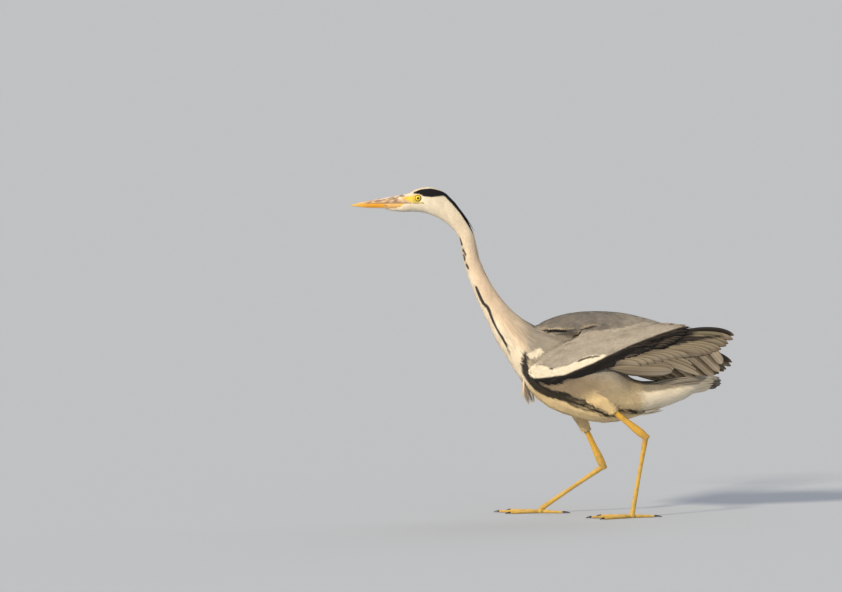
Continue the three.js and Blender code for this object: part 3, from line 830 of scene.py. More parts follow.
def unwrap(points, line):
    """A place on an unwrap of the skin: along a line in u, and round it in v."""
    line = np.asarray(line, float)
    nearest = nearest_on(line, points)
    ways = unit(np.gradient(line, axis=0))[nearest]
    sideways = unit(np.cross(ways, [0.02, 0, 1.0]))
    over = np.cross(sideways, ways)
    off = points - line[nearest]
    share = (nearest + ((off * ways).sum(1) / 8).clip(-0.5, 0.5)) / (len(line) - 1)
    angle = np.arctan2((off * over).sum(1), (off * sideways).sum(1)) / (2 * math.pi) + 0.5
    return np.stack([0.01 + 0.98 * share.clip(0, 1), 0.01 + 0.98 * angle], 1)


PATCH = 0.003


def coat_piece(name, grid, across, tint, bake, patch, material, nodes=(), closed=False):
    """A piece of feathers from their points and tints by feather, row and column.

    across places the columns from -1 to 1. bake is each feather's place on the map named OFBake, and patch
    its room there.
    """
    count, rows, columns, _ = grid.shape
    quads = grid_quads(count, rows, columns, closed)
    mesh = mesh_from(name, grid.reshape(-1, 3), quads)
    set_tint(mesh, tint.reshape(-1, 3))
    v, u = np.meshgrid(np.linspace(0, 1, rows), (np.asarray(across) + 1) / 2, indexing="ij")
    vane = np.stack([u.ravel(), v.ravel()], 1)
    set_uv(mesh, "OFBake", (bake[:, None] + patch * (vane - 0.5)[None]).reshape(-1, 2)[quads.ravel()])
    set_uv(mesh, "Vane", np.tile(vane, (count, 1))[quads.ravel()])
    finish_object(name, mesh, material, nodes)


def lie_of_coat(points, normals, region, side, rng, wander):
    """Where feathers point: backwards along the body, wing or leg, with some wander."""
    if region == "thigh":
        knee, ankle, _ = np.array(LEGS[side], float)
        ways = np.tile(unit(ankle - knee), (len(points), 1))
    elif region == "wing":
        x = points[:, 0]
        rise = np.interp(x, [-60, 0, 60, 150, 260], [0.30, 0.42, 0.44, 0.36, 0.16])
        ways = np.stack([np.ones_like(x), np.zeros_like(x), rise], 1)
    elif region == "mantle":
        x, y, z = points.T
        ways = np.stack([np.ones_like(x), 0.35 * np.sign(y) * ramp(0, 40, np.abs(y)), -0.0015 * (x - 60)], 1)
    else:
        along, ways, _ = on_spine(points)
        drop = 0.35 * ramp(0.6, 0.72, along) * ramp(0.98, 0.85, along)
        ways = ways - (drop * ramp(310, 250, points[:, 2]))[:, None] * [0, 0, 1]
    return flattened(unit(ways) + rng.normal(scale=wander, size=(len(points), 3)), normals)


def near_neck(points):
    """0 on the head and 1 where it meets the neck."""
    return ramp(-278, -240, points[:, 0])


def wing_line(side):
    line = [(-66, 52, 298), (-10, 62, 320), (60, 62, 350), (150, 56, 374), (257, 50, 391)]
    return spline(np.array(line) * [1, SIDES[side], 1], 40)


def thigh_line(side):
    knee, ankle, _ = np.array(LEGS[side], float)
    return spline([knee, (knee + ankle) / 2, ankle], 30)


def grow_coat(surface, name, nodes, slot_name, material, spacing, length, width, rows, columns, seed,
              wander=0.12, tip=0.6, keep=None, camber=0.12, held=1.0, contrast=0.06):
    """One coat piece over flesh nodes. length and width may be functions of the points."""
    rng = np.random.default_rng(seed)
    chosen = np.isin(surface.owners, [FLESH.index(n) for n in nodes])
    roots, normals = surface.scatter(chosen, spacing, seed)
    if keep is not None:
        kept = keep(roots, normals)
        roots, normals = roots[kept], normals[kept]
    region = region_of(nodes[0])
    side = nodes[0].split("_")[1] if region in ("wing", "thigh") else ""
    ways = lie_of_coat(roots, normals, region, side, rng, wander)
    long, wide = (size(roots) if callable(size) else size for size in (length, width))
    lift = COAT_DEPTH[region]
    if region == "head":
        lift = lift + (COAT_DEPTH["neck"] - lift) * near_neck(roots)
    grid = grow(surface, roots, normals, ways, long, wide, rows, columns, lift, tip, camber, seed, held)
    slip = rng.normal(scale=0.10, size=(len(roots), 1)) * ways * np.broadcast_to(long, len(roots))[:, None]
    seen = (grid + slip[:, None, None]).reshape(-1, 3)
    under_tip = surface.owners_near(grid[:, -1, columns // 2])
    tint = coat_tint(seen, np.repeat(under_tip, rows * columns)).reshape(grid.shape)
    tint = tint * rng.uniform(1 - contrast, 1 + contrast, len(roots))[:, None, None, None]
    line = {"wing": wing_line, "thigh": thigh_line}.get(region, lambda _: spine_points)(side)
    across = np.linspace(-1, 1, columns)
    coat_piece(name, grid, across, tint, unwrap(roots, line), PATCH, material)


def sized(axis, places, sizes):
    """Sizes that change along an axis of the bird: 0 is x and 2 is z."""
    return lambda points: np.interp(points[:, axis], places, sizes)


def make_coat():
    soft = feather_material("soft_feathers", 0.85, 60, -0.03, 0.03, specular=0.1)
    vane = feather_material("contour_feathers", 0.8, 90, -0.08, 0.06, specular=0.12)

    def coat(name, nodes, colour, *sizes, **settings):
        grow_coat(surface, f"coat_{name}", nodes, f"{colour}_feathers", *sizes, **settings)

    def head_size(p):
        return ramp(-330, -250, p[:, 0])

    def on_head(p, n):
        thinned = np.random.default_rng(102).random(len(p)) < 0.68 * near_neck(p)
        return (bare_face(p) < 0.5) & ~thinned

    coat(
        "head", ["head"], "cream", soft, 0.92, lambda p: 3.8 + 4.2 * head_size(p),
        lambda p: 1.35 + 0.65 * head_size(p), 3, 3, 101, wander=0.08, keep=on_head,
    )
    neck_sizes = sized(2, [340, 480, 600], [19, 12, 8]), sized(2, [340, 480, 600], [3.4, 2.6, 2.2])
    wing_sizes = sized(0, [-60, 60, 200], [12, 22, 34]), sized(0, [-60, 60, 200], [4.6, 6.4, 8])
    for number, length in enumerate(("upper", "middle", "lower")):
        coat(
            f"neck_{length}", [f"neck_{length}"], "cream", soft, 1.65, *neck_sizes, 4, 3, 110 + number,
            wander=0.06, tip=0.45, contrast=0.10,
        )
    coat(
        "foreneck", ["neck_lower", "trunk"], "white", soft, 5.0, 66, 4.4, 10, 3, 170,
        wander=0.05, tip=0.15, camber=0.1, held=0.5, contrast=0.12,
        keep=lambda p, n: (p[:, 2] > 298) & (p[:, 2] < 352) & (np.abs(p[:, 1]) < 24) & (n[:, 0] < -0.3),
    )
    coat(
        "neck_base", ["trunk", "neck_lower"], "cream", soft, 4.4, 46, 3.4, 10, 3, 171,
        wander=0.05, tip=0.2, contrast=0.13,
        keep=lambda p, n: (p[:, 2] > 306) & (p[:, 2] < 425) & (p[:, 0] < -62),
    )
    for number, (side, y) in enumerate(SIDES.items()):
        coat(
            f"body_{side}", ["trunk"], "grey", soft, 3.0, lambda p: 20 + 9 * ramp(40, 180, p[:, 0]), 5.2,
            5, 3, 120 + number, wander=0.08, tip=0.45, camber=0.06,
            keep=lambda p, n: (
                (p[:, 1] * y >= 0) & (in_slit(p, 2.0) < 0.5) & ~((p[:, 0] > 24) & (p[:, 2] > 350))
            ),
        )
        coat(
            f"wing_{side}", [f"wing_{side}_coverts"], "grey", vane, 3.5, *wing_sizes, 6, 5, 130 + number,
            wander=0.04, tip=0.5, camber=0.06, contrast=0.10,
        )
        coat(
            f"scapulars_{side}", [f"wing_{side}_coverts"], "grey", vane, 5.0, 62, 6.0, 9, 3, 160 + number,
            wander=0.05, tip=0.25, camber=0.06, held=0.55, contrast=0.22,
            keep=lambda p, n: (p[:, 0] > 110) & (p[:, 0] < 200) & (n[:, 2] > 0.35) & (np.abs(p[:, 1]) > 32),
        )
        coat(
            f"thigh_{side}", [f"thigh_{side}"], "white", soft, 1.9, 13, 2.8, 5, 3, 140 + number,
            wander=0.10, tip=0.3, held=0.5,
        )
    coat(
        "mantle", ["mantle"], "grey", vane, 3.9, 26, 6.5, 6, 5, 104,
        wander=0.05, tip=0.5, camber=0.06, contrast=0.12,
        keep=lambda p, n: (in_slit(p, 1.0) < 0.5) & ~((p[:, 0] > 20) & (p[:, 0] < 70) & (p[:, 2] < 381)),
    )


def make_mantle_lip():
    """Short feathers that hang over the slit under the mantle's front edge, with tips painted pale towards
    the front: a painted highlight where the low light catches them.
    """
    rng = np.random.default_rng(160)
    rows, columns = 9, 5
    beads = []
    for y in SIDES.values():
        x = np.arange(-46, 36, 4.4)
        half = np.interp((x + 54) / 290 * 8, range(9), [6, 32, 40, 44, 45, 42, 34, 23, 5]) - 2.5
        beads.append(np.stack([x, y * half, 392.5 + rng.normal(scale=0.5, size=len(x))], 1))
    roots, normals = surface.project(np.vstack(beads))
    ways = flattened([0.35, 0, -1.0] + rng.normal(scale=0.06, size=roots.shape), normals)
    grid = grow(surface, roots, normals, ways, 7.0, 4.4, rows, columns, 3.0, tip=0.66, camber=0.2, seed=161)
    to_tip = ramp(0.6, 0.78, np.linspace(0, 1, rows))[None, :, None]
    tint = layered(
        grid, np.array(BACK) * 1.1,
        # Painted highlight: the tips paler towards the front, where the low light catches them.
        ((0.48, 0.39, 0.24), to_tip * ramp(50, -5, roots[:, 0])[:, None, None]),
    )
    coat_piece(
        "coat_mantle_lip", grid, np.linspace(-1, 1, columns), tint, unwrap(roots, spine_points), PATCH,
        feather_material("mantle_lip", 0.8, 60, 0, 0.1),
    )


# ---- bill

BILL_RINGS = 60
BILL_SIDES = 28
BILL_FLAT = 6
# Heights and half widths at six places from tip to base.
CULMEN = [637.2, 643.5, 648.5, 653.0, 657.5, 662.0]
GAPE = [636.6, 639.2, 640.6, 641.0, 641.0, 641.0]
GONYS = [635.9, 632.8, 631.6, 630.6, 629.8, 629.4]
BILL_HALF = [0.7, 2.9, 4.9, 6.9, 9.0, 12.4]
NICK = [(-359.5, 637.2), (-356.5, 636.6), (-355, 634.8)]
NOSTRIL_RIM = [(-350, 648.6), (-334, 651.4)]
NOSTRIL = [(-345, 649.4), (-338, 650.6)]


def along_bill(values, t):
    curve = spline(np.c_[range(6), np.zeros(6), values], 200)
    return np.interp(t * 5, curve[:, 0], curve[:, 2])


def over_bill(roots, normals):
    """Where the forehead's feathers run out over the bill."""
    x, z = side_view(roots).T
    return (x > FEATHER_FRONT + 1.2 * (660 - z)) & (z > level(LORE_TOP, x) + 0.3) & (normals[:, 2] > -0.3)


def mandible(name, edge, way, node):
    """Arched rings from tip to base, with a groove along the upper one's nostrils."""
    t = np.linspace(0, 1, BILL_RINGS) ** 1.15
    x = BILL_TIP + (BILL_BASE - BILL_TIP) * t
    base = along_bill(GAPE, t) + way * 0.15
    height = np.abs(along_bill(edge, t) - base)
    angle = np.linspace(0, math.pi, BILL_SIDES - BILL_FLAT)
    groove = (0.10 if way > 0 else 0.0) * np.exp(-(((np.sin(angle) - 0.62) / 0.10) ** 2))
    arch = np.stack([np.cos(angle), np.sin(angle) ** 0.85], 1)
    arches = arch * (1 - groove * ramp(0.25, 0.5, t)[:, None])[..., None]
    flat = np.stack([np.linspace(-1, 1, BILL_FLAT + 2)[1:-1], np.zeros(BILL_FLAT)], 1)
    shape = np.concatenate([arches, np.broadcast_to(flat, (BILL_RINGS, *flat.shape))], 1)
    points = np.stack([
        np.repeat(x[:, None], BILL_SIDES, 1),
        along_bill(BILL_HALF, t)[:, None] * shape[..., 0],
        base[:, None] + way * height[:, None] * shape[..., 1],
    ], -1).reshape(-1, 3)
    rung = np.arange(BILL_SIDES // 2 - 1)
    last = BILL_SIDES - 1
    caps = np.stack([rung, rung + 1, last - 1 - rung, last - rung], 1)
    quads = grid_quads(1, BILL_RINGS, BILL_SIDES, closed=True)
    quads = np.vstack([quads, caps[:, ::-1], caps + (BILL_RINGS - 1) * BILL_SIDES])
    mesh = mesh_from(name, points, quads)
    set_tint(mesh, upper_bill_tint(points) if way > 0 else lower_bill_tint(points))
    material = tint_material(name, 0.38, grain=0.10, grain_scale=1400, bump=0.25, coat=0.15)
    finish_object(name, mesh, material, [node])
    return Surface(points, quads.tolist(), np.zeros(len(points), int))


DUSK = (0.17, 0.11, 0.09)
OCHRE = (0.76, 0.45, 0.07)


def bill_tip(points):
    return ramp(-394, -412, points[:, 0] + 4 * patches(points, 6, 91))


def lower_bill_tint(points):
    """Orange, yellower at the base and ochre at the tip, with a nick in its edge."""
    flat = side_view(points)
    x, z = flat.T
    tint = layered(
        points, (0.80, 0.36, 0.02),
        ((0.84, 0.50, 0.17), ramp(-366, -354, x)),
        ((0.86, 0.56, 0.04), ramp(-330, -323, x)),
        (OCHRE, bill_tip(points)),
        ((0.90, 0.68, 0.38), 0.6 * ramp(633.4, 631.5, z) * ramp(-385, -370, x)),
        (DUSK, 0.85 * stroke(flat, NICK, 1.3, 0.5)),
    )
    return mottled(tint, 0.10, points * [0.12, 1, 1.0], 1.1, 93)


def upper_bill_tint(points):
    """Horn with a pale ridge, dusky flecks and nostrils, and ochre at the tip."""
    flat = side_view(points)
    x, z = flat.T
    height = (z - along_bill(GAPE, ((x - BILL_TIP) / (BILL_BASE - BILL_TIP)).clip(0, 1))) / 14
    flecks = ramp(0.50, 0.66, patches(points * [0.45, 1, 1.5], 2.4, 61)) * ramp(-408, -392, x)
    dark = ramp(0.60, 0.72, patches(points * [0.6, 1, 1.2], 3.4, 67)) * ramp(-402, -392, x)
    tint = layered(
        points, HORN,
        ((0.80, 0.66, 0.50), ramp(0.42, 0.7, height)),
        ((0.36, 0.20, 0.11), 0.75 * flecks * ramp(0.75, 0.3, height)),
        (DUSK, 0.75 * dark),
        ((0.80, 0.45, 0.10), 0.6 * ramp(0.16, 0.04, height) * ramp(-372, -385, x)),
        (OCHRE, bill_tip(points)),
        ((0.90, 0.74, 0.42), 0.7 * bill_tip(points) * ramp(0.14, 0.3, height)),
        ((0.36, 0.22, 0.08), 0.8 * stroke(flat, NOSTRIL_RIM, 2.4, 1.0)),
        ((0.03, 0.02, 0.02), stroke(flat, NOSTRIL, 0.8, 0.35)),
        (DUSK, 0.7 * ramp(-333, -326, x) * ramp(652, 655, z) * ramp(661, 658, z)),
    )
    tint = mottled(tint, 0.08, points * [0.12, 1, 1.0], 1.1, 93)
    near_face = x > -323
    tint[near_face] = face_tint(points[near_face], tint[near_face])
    return tint


# ---- eyes

PUPIL = 2.35
IRIS = 5.6
LID_RADII = (5.55, 8.9)
EYE_SIDES = 72


def make_eye(side):
    """The eyeball, with a yellow iris round the axis that it looks along."""
    name = f"eyeball_{side}"
    rings = 90
    polar = np.linspace(0.004, math.pi - 0.004, rings)
    turn = np.linspace(0, 2 * math.pi, EYE_SIDES, endpoint=False)
    bulge = EYE_RADIUS + 0.35 * ramp(0.75, 0.3, polar)
    ring = (np.sin(polar) * bulge)[:, None]
    out = EYE[1] + (np.cos(polar) * bulge)[:, None] + 0 * turn
    points = np.stack([EYE[0] + ring * np.cos(turn), SIDES[side] * out, EYE[2] + ring * np.sin(turn)], -1)
    points = points.reshape(-1, 3)
    mesh = mesh_from(name, points, grid_quads(1, rings, EYE_SIDES, closed=True))
    x, _, z = (points - EYE).T
    off = np.hypot(x, z)
    angle = np.arctan2(z, x)
    fibres = 0.5 + 0.25 * np.sin(angle * 36) + 0.25 * np.sin(angle * 22 + off)
    set_tint(mesh, layered(
        points, (0.88, 0.66, 0.03),
        ((0.62, 0.36, 0.01), 0.55 * fibres * ramp(IRIS - 0.5, PUPIL, off)),
        ((0.004, 0.004, 0.005), ramp(PUPIL + 0.2, PUPIL - 0.15, off)),
        ((0.10, 0.06, 0.01), ramp(IRIS - 0.7, IRIS, off)),
    ))
    material = tint_material(name, 0.2, grain=0.0, bump=0, coat=0.2, specular=0.3)
    finish_object(name, mesh, material, [f"eye_{side}"])


def make_lids(side):
    """A ring that rises from the eyeball to a dark rim and runs out into the face."""
    name = f"lids_{side}"
    y = SIDES[side]
    rows = 14
    turn = np.linspace(0, 2 * math.pi, EYE_SIDES, endpoint=False)
    w = np.linspace(0, 1, rows)
    radius = LID_RADII[0] + (LID_RADII[1] - LID_RADII[0]) * w
    x = EYE[0] + 1.03 * np.outer(np.cos(turn), radius)
    z = EYE[2] + np.outer(np.sin(turn), radius)
    ball = EYE[1] + math.sqrt((EYE_RADIUS + 0.1) ** 2 - LID_RADII[0] ** 2)
    hits = [surface.tree.ray_cast((a, y * 60, b), (0, -y, 0))[0].y for a, b in zip(x[:, -1], z[:, -1])]
    outer = np.abs(hits) - 0.25
    rim = 0.35 + 0.15 * np.cos(turn - 2.4)
    out = ball + (outer - ball)[:, None] * ramp(0, 1, w) + rim[:, None] * np.exp(-(((w - 0.2) / 0.17) ** 2))
    out[:, 0] = ball - 0.4
    out = out + 0.12 * np.sin(w * 26)[None] * ramp(0.3, 0.6, w) * ramp(1, 0.8, w)
    points = np.stack([x, y * out, z], -1).reshape(-1, 3)
    last = (EYE_SIDES - 1) * rows + np.arange(rows - 1)
    join = np.stack([last, last + 1, np.arange(1, rows), np.arange(rows - 1)], 1)
    quads = np.vstack([grid_quads(1, EYE_SIDES, rows), join])
    mesh = mesh_from(name, points, quads if y < 0 else quads[:, ::-1])
    dark = 0.22 + 0.26 * ramp(0.1, 1.0, np.cos(turn + 0.4)) + 0.10 * ramp(0.5, 1.0, np.cos(turn - 2.6))
    shut = ramp(0.06, -0.05, w[None] - dark[:, None]).ravel()
    face = face_tint(points, head_and_neck_tint(points))
    set_tint(mesh, layered(points, face, ((0.016, 0.013, 0.010), shut)))
    finish_object(name, mesh, tint_material(name, 0.42, grain=0.08, grain_scale=1800))


# ---- legs

def leg_tint(points, side):
    """Yellow-orange legs, yellower lower down, and duskier on their joints and in soft patches."""
    joint = np.exp(-((np.linalg.norm(points - LEGS[side][1], axis=1) / 12) ** 2))
    return layered(
        points, (0.63, 0.365, 0.045),
        ((0.62, 0.42, 0.10), ramp(160, 60, points[:, 2]) * 0.6),
        ((0.34, 0.22, 0.07), 0.55 * joint),
        ((0.30, 0.20, 0.08), 0.35 * ramp(0.5, 0.9, patches(points, 5, 71))),
    )


def scute_material(name):
    """Leg skin with bands of scutes along the leg, and small scales between."""
    material = tint_material(name, 0.42, grain=0.10, grain_scale=600, bump=0, specular=0.4)
    tree = material.node_tree
    place = add(tree, "TexCoord", {})["Object"]
    stretched = add(tree, "Mapping", {"Vector": place, "Scale": (0.7, 0.7, 1.25)})[0]
    scales = add(tree, "TexVoronoi", {"Vector": stretched, "Scale": 420}, feature="DISTANCE_TO_EDGE")
    flat_top = add(tree, "MapRange", {"Value": scales["Distance"], "From Max": 0.18})[0]
    add_bump(tree, flat_top, 0.6, 0.5)
    return material


def make_leg(side):
    name = f"leg_{side}"
    nodes = [f"shank_{side}", f"tarsus_{side}", f"foot_{side}"]
    mesh = fused(name, nodes, 0.9, 0.35, 4)
    points, _, normals = mesh_arrays(mesh)
    points = points - normals * 0.25
    from_ankle = np.linalg.norm(points - LEGS[side][1], axis=1)
    points = soften(points, mesh, 0.5 * ramp(16, 6, from_ankle), 40)
    points[:, 2] = np.maximum(points[:, 2], 0.0)
    set_points(mesh, points)
    mesh.update()
    set_tint(mesh, leg_tint(points, side))
    finish_object(name, mesh, scute_material(name), nodes)


def make_claws(side):
    name = f"claws_{side}"
    nodes = [f"claw_{side}_{toe}" for toe in ("inner", "middle", "outer", "hind")]
    mesh = fused(name, nodes, 0.35, 0.15, 3)
    points, _, _ = mesh_arrays(mesh)
    points[:, 2] = np.maximum(points[:, 2], 0.0)
    set_points(mesh, points)
    set_tint(mesh, np.full(points.shape, (0.045, 0.032, 0.022)))
    material = tint_material(name, 0.3, grain=0.2, grain_scale=900, bump=0.1, coat=0.2)
    finish_object(name, mesh, material, nodes)


# ---- long feathers

# Columns round a long feather: over its seen face, with the shaft in the middle, and back under it.
RING_ACROSS = np.array([-1, -0.62, -0.3, -0.08, 0, 0.08, 0.3, 0.62, 1, 0.62, 0.3, -0.3, -0.62])
RING_HEIGHT = np.array([0, 0.18, 0.24, 0.27, 0.55, 0.27, 0.24, 0.18, 0, -0.18, -0.24, -0.24, -0.18])
LONG_ROWS = 36
WING_FACE = (0.1, 0.86, -0.5)


def long_feathers(roots, bends, tips, count, half, layer=0.0, tip=0.75, face=WING_FACE, uneven=0.0,
                  camber=0.10, jitter=1.0, notches=2, seed=1):
    """A fan of long feathers, with roots, bends and tips spread along three curves.

    face is where the seen side looks, and each feather lies a layer further that way than the one
    before. uneven narrows the vane above the shaft.
    """
    rng = np.random.default_rng(seed)
    lines = [spline(line, count) for line in (roots, bends, tips)]
    s = np.linspace(0, 1, LONG_ROWS)
    s_column = s[:, None]
    face = unit(np.array(face, float))
    grid = np.zeros((count, LONG_ROWS, len(RING_ACROSS), 3))
    low = np.where(RING_ACROSS > 0, 1 - uneven, 1)
    for i in range(count):
        a, b, c = (
            line[i] + face * layer * i + rng.normal(scale=jitter, size=3) * [1, 0.2, 0.6] for line in lines
        )
        centre = (1 - s_column) ** 2 * a + 2 * (s_column * (1 - s_column)) * b + s_column**2 * c
        way = unit(np.gradient(centre, axis=0))
        side = unit(np.cross(way, face))
        over = np.cross(side, way)
        wide = half[0] + (half[1] - half[0]) * (i / max(count - 1, 1))
        wide = (wide * rng.uniform(0.94, 1.05) * vane_width(s, tip))[:, None]
        edge = np.ones((LONG_ROWS, 1)) * low
        for place in rng.uniform(0.45, 0.97, notches):
            split = np.exp(-(((s_column - place) / 0.010) ** 2))
            edge = edge * (1 - 0.10 * split * (RING_ACROSS * rng.choice([-1, 1]) > 0.5))
        rise = RING_HEIGHT * (1 - 0.6 * s_column) - camber * wide * RING_ACROSS**2
        rise = rise + 0.02 * wide * np.sin(s_column * 8 + 2.1 * i) * RING_ACROSS
        sideways = side[:, None] * (wide * RING_ACROSS * edge)[..., None]
        grid[i] = centre[:, None] + sideways + over[:, None] * rise[..., None]
    return grid


def strips(count):
    """Each long feather's own place on the map, and its room there."""
    return np.stack([(np.arange(count) + 0.5) / count, np.full(count, 0.5)], 1), np.array([0.8 / count, 0.96])


# Upper edge of the primaries' pale inner vanes, and the second one's pale stripe, as (x, z).
PALE_BELOW = [(164, 342), (204, 350), (239, 353), (263, 360), (297, 365), (329, 370), (349, 374)]
STRIPE_TOP = [(262, 372), (277, 381), (308, 382.5), (332, 378.5), (342, 376)]
STRIPE_FOOT = [(262, 370), (284, 370.5), (324, 372.5), (342, 375)]


# Each painter gets a fan's points, each feather's share of the fan, and the share of its length.
def paint_primary(grid, share, s):
    """Black-brown along the folded edge, with a pale stripe, and pale inner vanes below."""
    x, z = grid[..., 0], grid[..., 2]
    behind_first = ~(share < 0.05)
    stripe = ramp(0, 2, level(STRIPE_TOP, x) - z) * ramp(0, 1, z - level(STRIPE_FOOT, x)) * ramp(262, 280, x)
    inner = np.maximum(ramp(1, -1, z - level(PALE_BELOW, x)), ramp(322, 338, x))
    return layered(
        grid, (0.026, 0.022, 0.019),
        ((0.06, 0.043, 0.032), 0.5 * np.sin(RING_ACROSS * 9 + 7 * share) ** 2),
        ((0.24, 0.205, 0.135), stripe * behind_first),
        ((0.28, 0.23, 0.16), inner * behind_first),
        ((0.17, 0.105, 0.07), 0.8 * ramp(0.94, 1.0, s)),
    )


# Painted shade where the feathers overlap: darker at the root, on one half and at the rims, and paler towards
# the tip.
def paint_secondary(grid, share, s):
    return layered(
        grid, (0.23, 0.185, 0.13),
        ((0.37, 0.31, 0.23), ramp(0.35, 0.9, s) * (0.5 + 0.5 * ramp(0.3, -0.6, RING_ACROSS))),
        ((0.10, 0.08, 0.06), 0.6 * ramp(0.82, 1.0, np.abs(RING_ACROSS)) * ramp(0.2, 0.6, s)),
    )


# The far wing's inner face, painted far paler than its own brown-grey as painted light, for it lies in the
# near wing's shadow; darker at the rims.
def paint_inner_face(grid, share, s):
    return layered(grid, (0.80, 0.63, 0.43), ((0.26, 0.20, 0.13), 0.7 * ramp(0.7, 1.0, np.abs(RING_ACROSS))))


def paint_hand_covert(grid, share, s):
    edge = 0.75 * ramp(0.72, 0.98, RING_ACROSS) * ramp(0.2, 0.5, s)
    return layered(grid, (0.024, 0.020, 0.017), ((0.17, 0.125, 0.085), edge))


def paint_under_covert(grid, share, s):
    return layered(
        grid, (0.17, 0.135, 0.095), ((0.33, 0.275, 0.20), ramp(0.3, 0.85, s)),
        ((0.10, 0.078, 0.055), 0.5 * ramp(0.88, 1.0, s)),
    )


# Painted light on the near side: its feathers are painted paler, for their under side faces down into shade.
# The far side is darker, and the tips dark.
def paint_tail(grid, share, s):
    return layered(
        grid, (0.33, 0.29, 0.23), ((0.62, 0.55, 0.44), ramp(0.25, 0.1, share)),
        ((0.15, 0.125, 0.10), ramp(0.35, 0.75, share)), ((0.06, 0.05, 0.045), 0.6 * ramp(0.93, 1.0, s)),
    )


def paint_white(grid, share, s):
    return layered(grid, WHITE, ((0.60, 0.48, 0.30), 0.5 * ramp(0.4, 0.9, s)))


def paint_undertail(grid, share, s):
    x, z = side_view(grid.reshape(-1, 3)).T
    rise = (z - level(UNDERTAIL_TOP, x)).reshape(grid.shape[:-1])
    return layered(grid, paint_white(grid, share, s), (RUMP, ramp(-2, 3, rise)))


def paint_black(grid, share, s):
    return layered(grid, np.array(BLACK) * 1.5)


# Cream, with painted shade: warm brown towards the tips, for the shade between the strands.
def paint_plume(grid, share, s):
    return layered(grid, CREAM, ((0.42, 0.33, 0.22), 0.7 * ramp(0.4, 0.95, s + 0.3 * np.sin(share * 40))))


# The fans of each wing, with y outwards. They droop from the wrist of a wing held lower.
HAND_X = 55
DROOP = {"left": 0.0, "right": 1.0}
HAND_COVERTS = dict(slot="black", paint=paint_hand_covert, layer=-0.5, tip=0.7)
WING_FANS = {
    "primaries": dict(
        nodes=["primaries"], slot="black", paint=paint_primary, droop=0.2, count=9,
        roots=[(52, 62, 302), (66, 60, 300), (80, 58, 300)],
        bends=[(266, 54, 413), (244, 55, 384), (200, 58, 348)],
        tips=[(355, 38, 373), (352, 40, 364), (341, 42, 352), (323, 45, 339), (292, 50, 331)],
        half=(10, 13), layer=-0.7, tip=0.80, uneven=0.25,
    ),
    "hand_coverts_greater": dict(
        HAND_COVERTS, droop=0.16, count=9, half=(6.5, 7.5),
        roots=[(95, 69, 318), (140, 66, 330)],
        bends=[(180, 66, 366), (195, 63, 345)],
        tips=[(262, 57, 391), (254, 58, 376), (238, 59, 362), (210, 61, 346)],
    ),
    "hand_coverts_median": dict(
        HAND_COVERTS, droop=0.14, count=8, half=(6.5, 7.5),
        roots=[(30, 70, 294), (85, 70, 306)],
        bends=[(120, 72, 337), (130, 70, 320)],
        tips=[(207, 67, 374), (200, 67, 361), (182, 68, 347), (160, 68, 333)],
    ),
    "hand_coverts_lesser": dict(
        HAND_COVERTS, droop=0.08, count=7, half=(6, 7),
        roots=[(-20, 70, 280), (35, 70, 289)],
        bends=[(50, 76, 308), (60, 74, 298)],
        tips=[(137, 75, 348), (128, 74, 333), (108, 73, 318)],
    ),
    "under_coverts": dict(
        slot="brown", paint=paint_under_covert, droop=0.1, count=8,
        roots=[(78, 64, 309), (105, 63, 318), (140, 62, 330)],
        bends=[(125, 66, 318), (160, 64, 328), (205, 61, 341)],
        tips=[(163, 64, 313), (192, 62, 318), (226, 60, 323), (264, 58, 328)],
        half=(11, 9.5), layer=-0.5, tip=0.66,
    ),
}
# The secondaries hang shut on the near wing. On the far one they spread, with their inner face seen.
SECONDARIES = {
    "left": {
        "secondaries": dict(
            nodes=["secondaries"], slot="brown", paint=paint_secondary, count=4,
            roots=[(100, 60, 306), (130, 59, 318)],
            bends=[(168, 60, 296), (185, 58, 310)],
            tips=[(227, 53, 300), (234, 53, 306)],
            half=(12.5, 11.5), layer=-0.6, tip=0.72,
        ),
        "secondaries_outer": dict(
            slot="brown", paint=paint_secondary, count=4,
            roots=[(150, 59, 332), (190, 57, 342)],
            bends=[(222, 57, 320), (228, 56, 336)],
            tips=[(285, 50, 292), (279, 50, 300), (273, 50, 309), (262, 51, 322)],
            half=(7.5, 7.0), layer=-0.6, tip=0.66,
        ),
    },
    "right": {
        "secondaries": dict(
            nodes=["secondaries"], slot="brown", paint=paint_inner_face, count=9, vane="pale_shaft",
            roots=[(110, 44, 312), (170, 40, 330), (240, 36, 350), (280, 34, 362)],
            bends=[(165, 42, 292), (225, 37, 305), (280, 33, 322), (312, 31, 342)],
            tips=[(222, 38, 279), (272, 35, 276), (308, 32, 281), (327, 30, 294), (332, 30, 310)],
            half=(13, 11), layer=0.25, tip=0.80,
        ),
    },
}
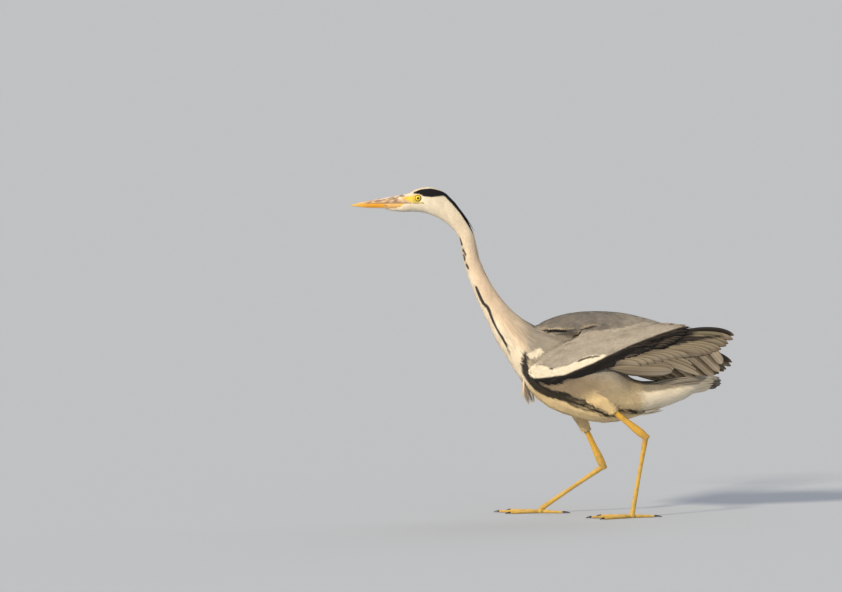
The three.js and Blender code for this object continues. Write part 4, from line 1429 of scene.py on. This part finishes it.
BODY_FANS = {
    "tail": dict(
        nodes=["tail"], slot="brown", paint=paint_tail, seed=301, count=12,
        roots=[(200, -9, 279), (196, 0, 276), (200, 9, 272)],
        bends=[(262, -22, 288), (266, 0, 280), (262, 22, 269)],
        tips=[(325, -32, 286), (331, 0, 274), (322, 32, 260)],
        half=(12.5, 12.5), tip=0.86, face=(0, 0.37, 0.93), jitter=1.2,
    ),
    "undertail": dict(
        slot="white", paint=paint_undertail, seed=304, vane="no_shaft", count=16,
        roots=[(186, -22, 272), (205, -16, 252), (205, 2, 243), (205, 16, 246)],
        bends=[(258, -33, 284), (262, -19, 262), (262, 0, 250), (262, 16, 250)],
        tips=[(312, -31, 285), (316, -14, 272), (310, 4, 264), (304, 18, 258)],
        half=(8.5, 8.5), tip=0.4, face=(0, -0.6, -0.8), jitter=1.5, camber=0.16,
    ),
    "belly_tuft": dict(
        slot="white", paint=paint_white, seed=305, vane="no_shaft", count=9,
        roots=[(150, -22, 214), (155, -6, 205), (160, 12, 208)],
        bends=[(176, -22, 214), (180, -6, 207), (184, 12, 209)],
        tips=[(205, -20, 221), (212, -6, 216), (206, 12, 218)],
        half=(3.2, 3.2), tip=0.3, face=(0, -0.4, -0.9), jitter=2.5,
    ),
    "crest": dict(
        nodes=["crest"], slot="black", paint=paint_black, seed=302, count=9,
        roots=[(-262, -6, 669), (-250, 0, 668), (-248, 6, 666)],
        bends=[(-208, -3, 641), (-204, 0, 640), (-206, 3, 638)],
        tips=[(-190, -5, 604), (-174, 0, 582), (-186, 5, 598)],
        half=(2.2, 2.2), tip=0.3, face=(0.8, 0, 0.6), jitter=0.5, notches=0,
    ),
    "breast_plumes": dict(
        nodes=["breast_plumes"], slot="white", paint=paint_plume, seed=303, vane="no_shaft", count=15,
        roots=[(-72, -20, 306), (-74, -7, 300), (-74, 7, 300), (-70, 20, 306)],
        bends=[(-76, -19, 268), (-74, -7, 260), (-68, 8, 260), (-58, 16, 268)],
        tips=[(-71, -12, 240), (-65, -4, 231), (-57, 4, 230), (-47, 8, 235)],
        half=(2.4, 2.4), tip=0.1, face=(-0.6, -0.78, 0.1), jitter=3.0, notches=0,
    ),
}


def make_fan(name, paint, slot, seed, nodes=(), side="", droop=0.0, vane="dark_shaft", **shape):
    grid = long_feathers(seed=seed, **shape)
    count = len(grid)
    tint = paint(grid, np.linspace(0, 1, count)[:, None, None], np.linspace(0, 1, LONG_ROWS)[None, :, None])
    tint = tint * np.random.default_rng(seed).uniform(0.9, 1.1, (count, 1, 1, 1))
    across = RING_ACROSS
    if side:
        grid[..., 2] -= droop * DROOP[side] * np.maximum(grid[..., 0] - HAND_X, 0)
        grid[..., 1] *= SIDES[side]
    if side == "left":
        grid, tint, across = grid[:, :, ::-1], tint[:, :, ::-1], across[::-1]
    bake, patch = strips(count)
    material = LONG_VANES[vane]
    coat_piece(f"feathers_{name}", grid, across, tint, bake, patch, material, nodes, True)


def make_wing_fans(side):
    for number, (name, fan) in enumerate({**WING_FANS, **SECONDARIES[side]}.items()):
        nodes = [f"wing_{side}_{node}" for node in fan.get("nodes", ())]
        make_fan(f"{side}_{name}", **{**fan, "nodes": nodes, "side": side, "seed": 200 + number})


# ---- build

make_camera()
make_stage()
LONG_VANES = {
    name: feather_material(name, roughness, barbs, shaft, fringe, specular, slant=0.15, relief=0.06)
    for name, roughness, barbs, shaft, fringe, specular in (
        ("dark_shaft", 0.6, 800, -0.35, -0.1, 0.3),
        ("pale_shaft", 0.6, 800, 0.55, -0.25, 0.3),
        ("no_shaft", 0.8, 300, 0.05, -0.05, 0.15),
    )
}
surface = make_skin()
make_coat()
make_mantle_lip()
upper_bill = mandible("bill_upper_horn", CULMEN, 1, "bill_upper")
grow_coat(
    upper_bill, "coat_forehead", ["head"], "cream_feathers",
    feather_material("forehead", 0.85, 60, 0, 0.03, 0.1), 0.8, 3.4, 1.3, 3, 3, 151, keep=over_bill,
)
mandible("bill_lower_horn", GONYS, -1, "bill_lower")
for side_name in SIDES:
    make_wing_fans(side_name)
    make_eye(side_name)
    make_lids(side_name)
    make_leg(side_name)
    make_claws(side_name)
for fan_name, body_fan in BODY_FANS.items():
    make_fan(fan_name, **body_fan)
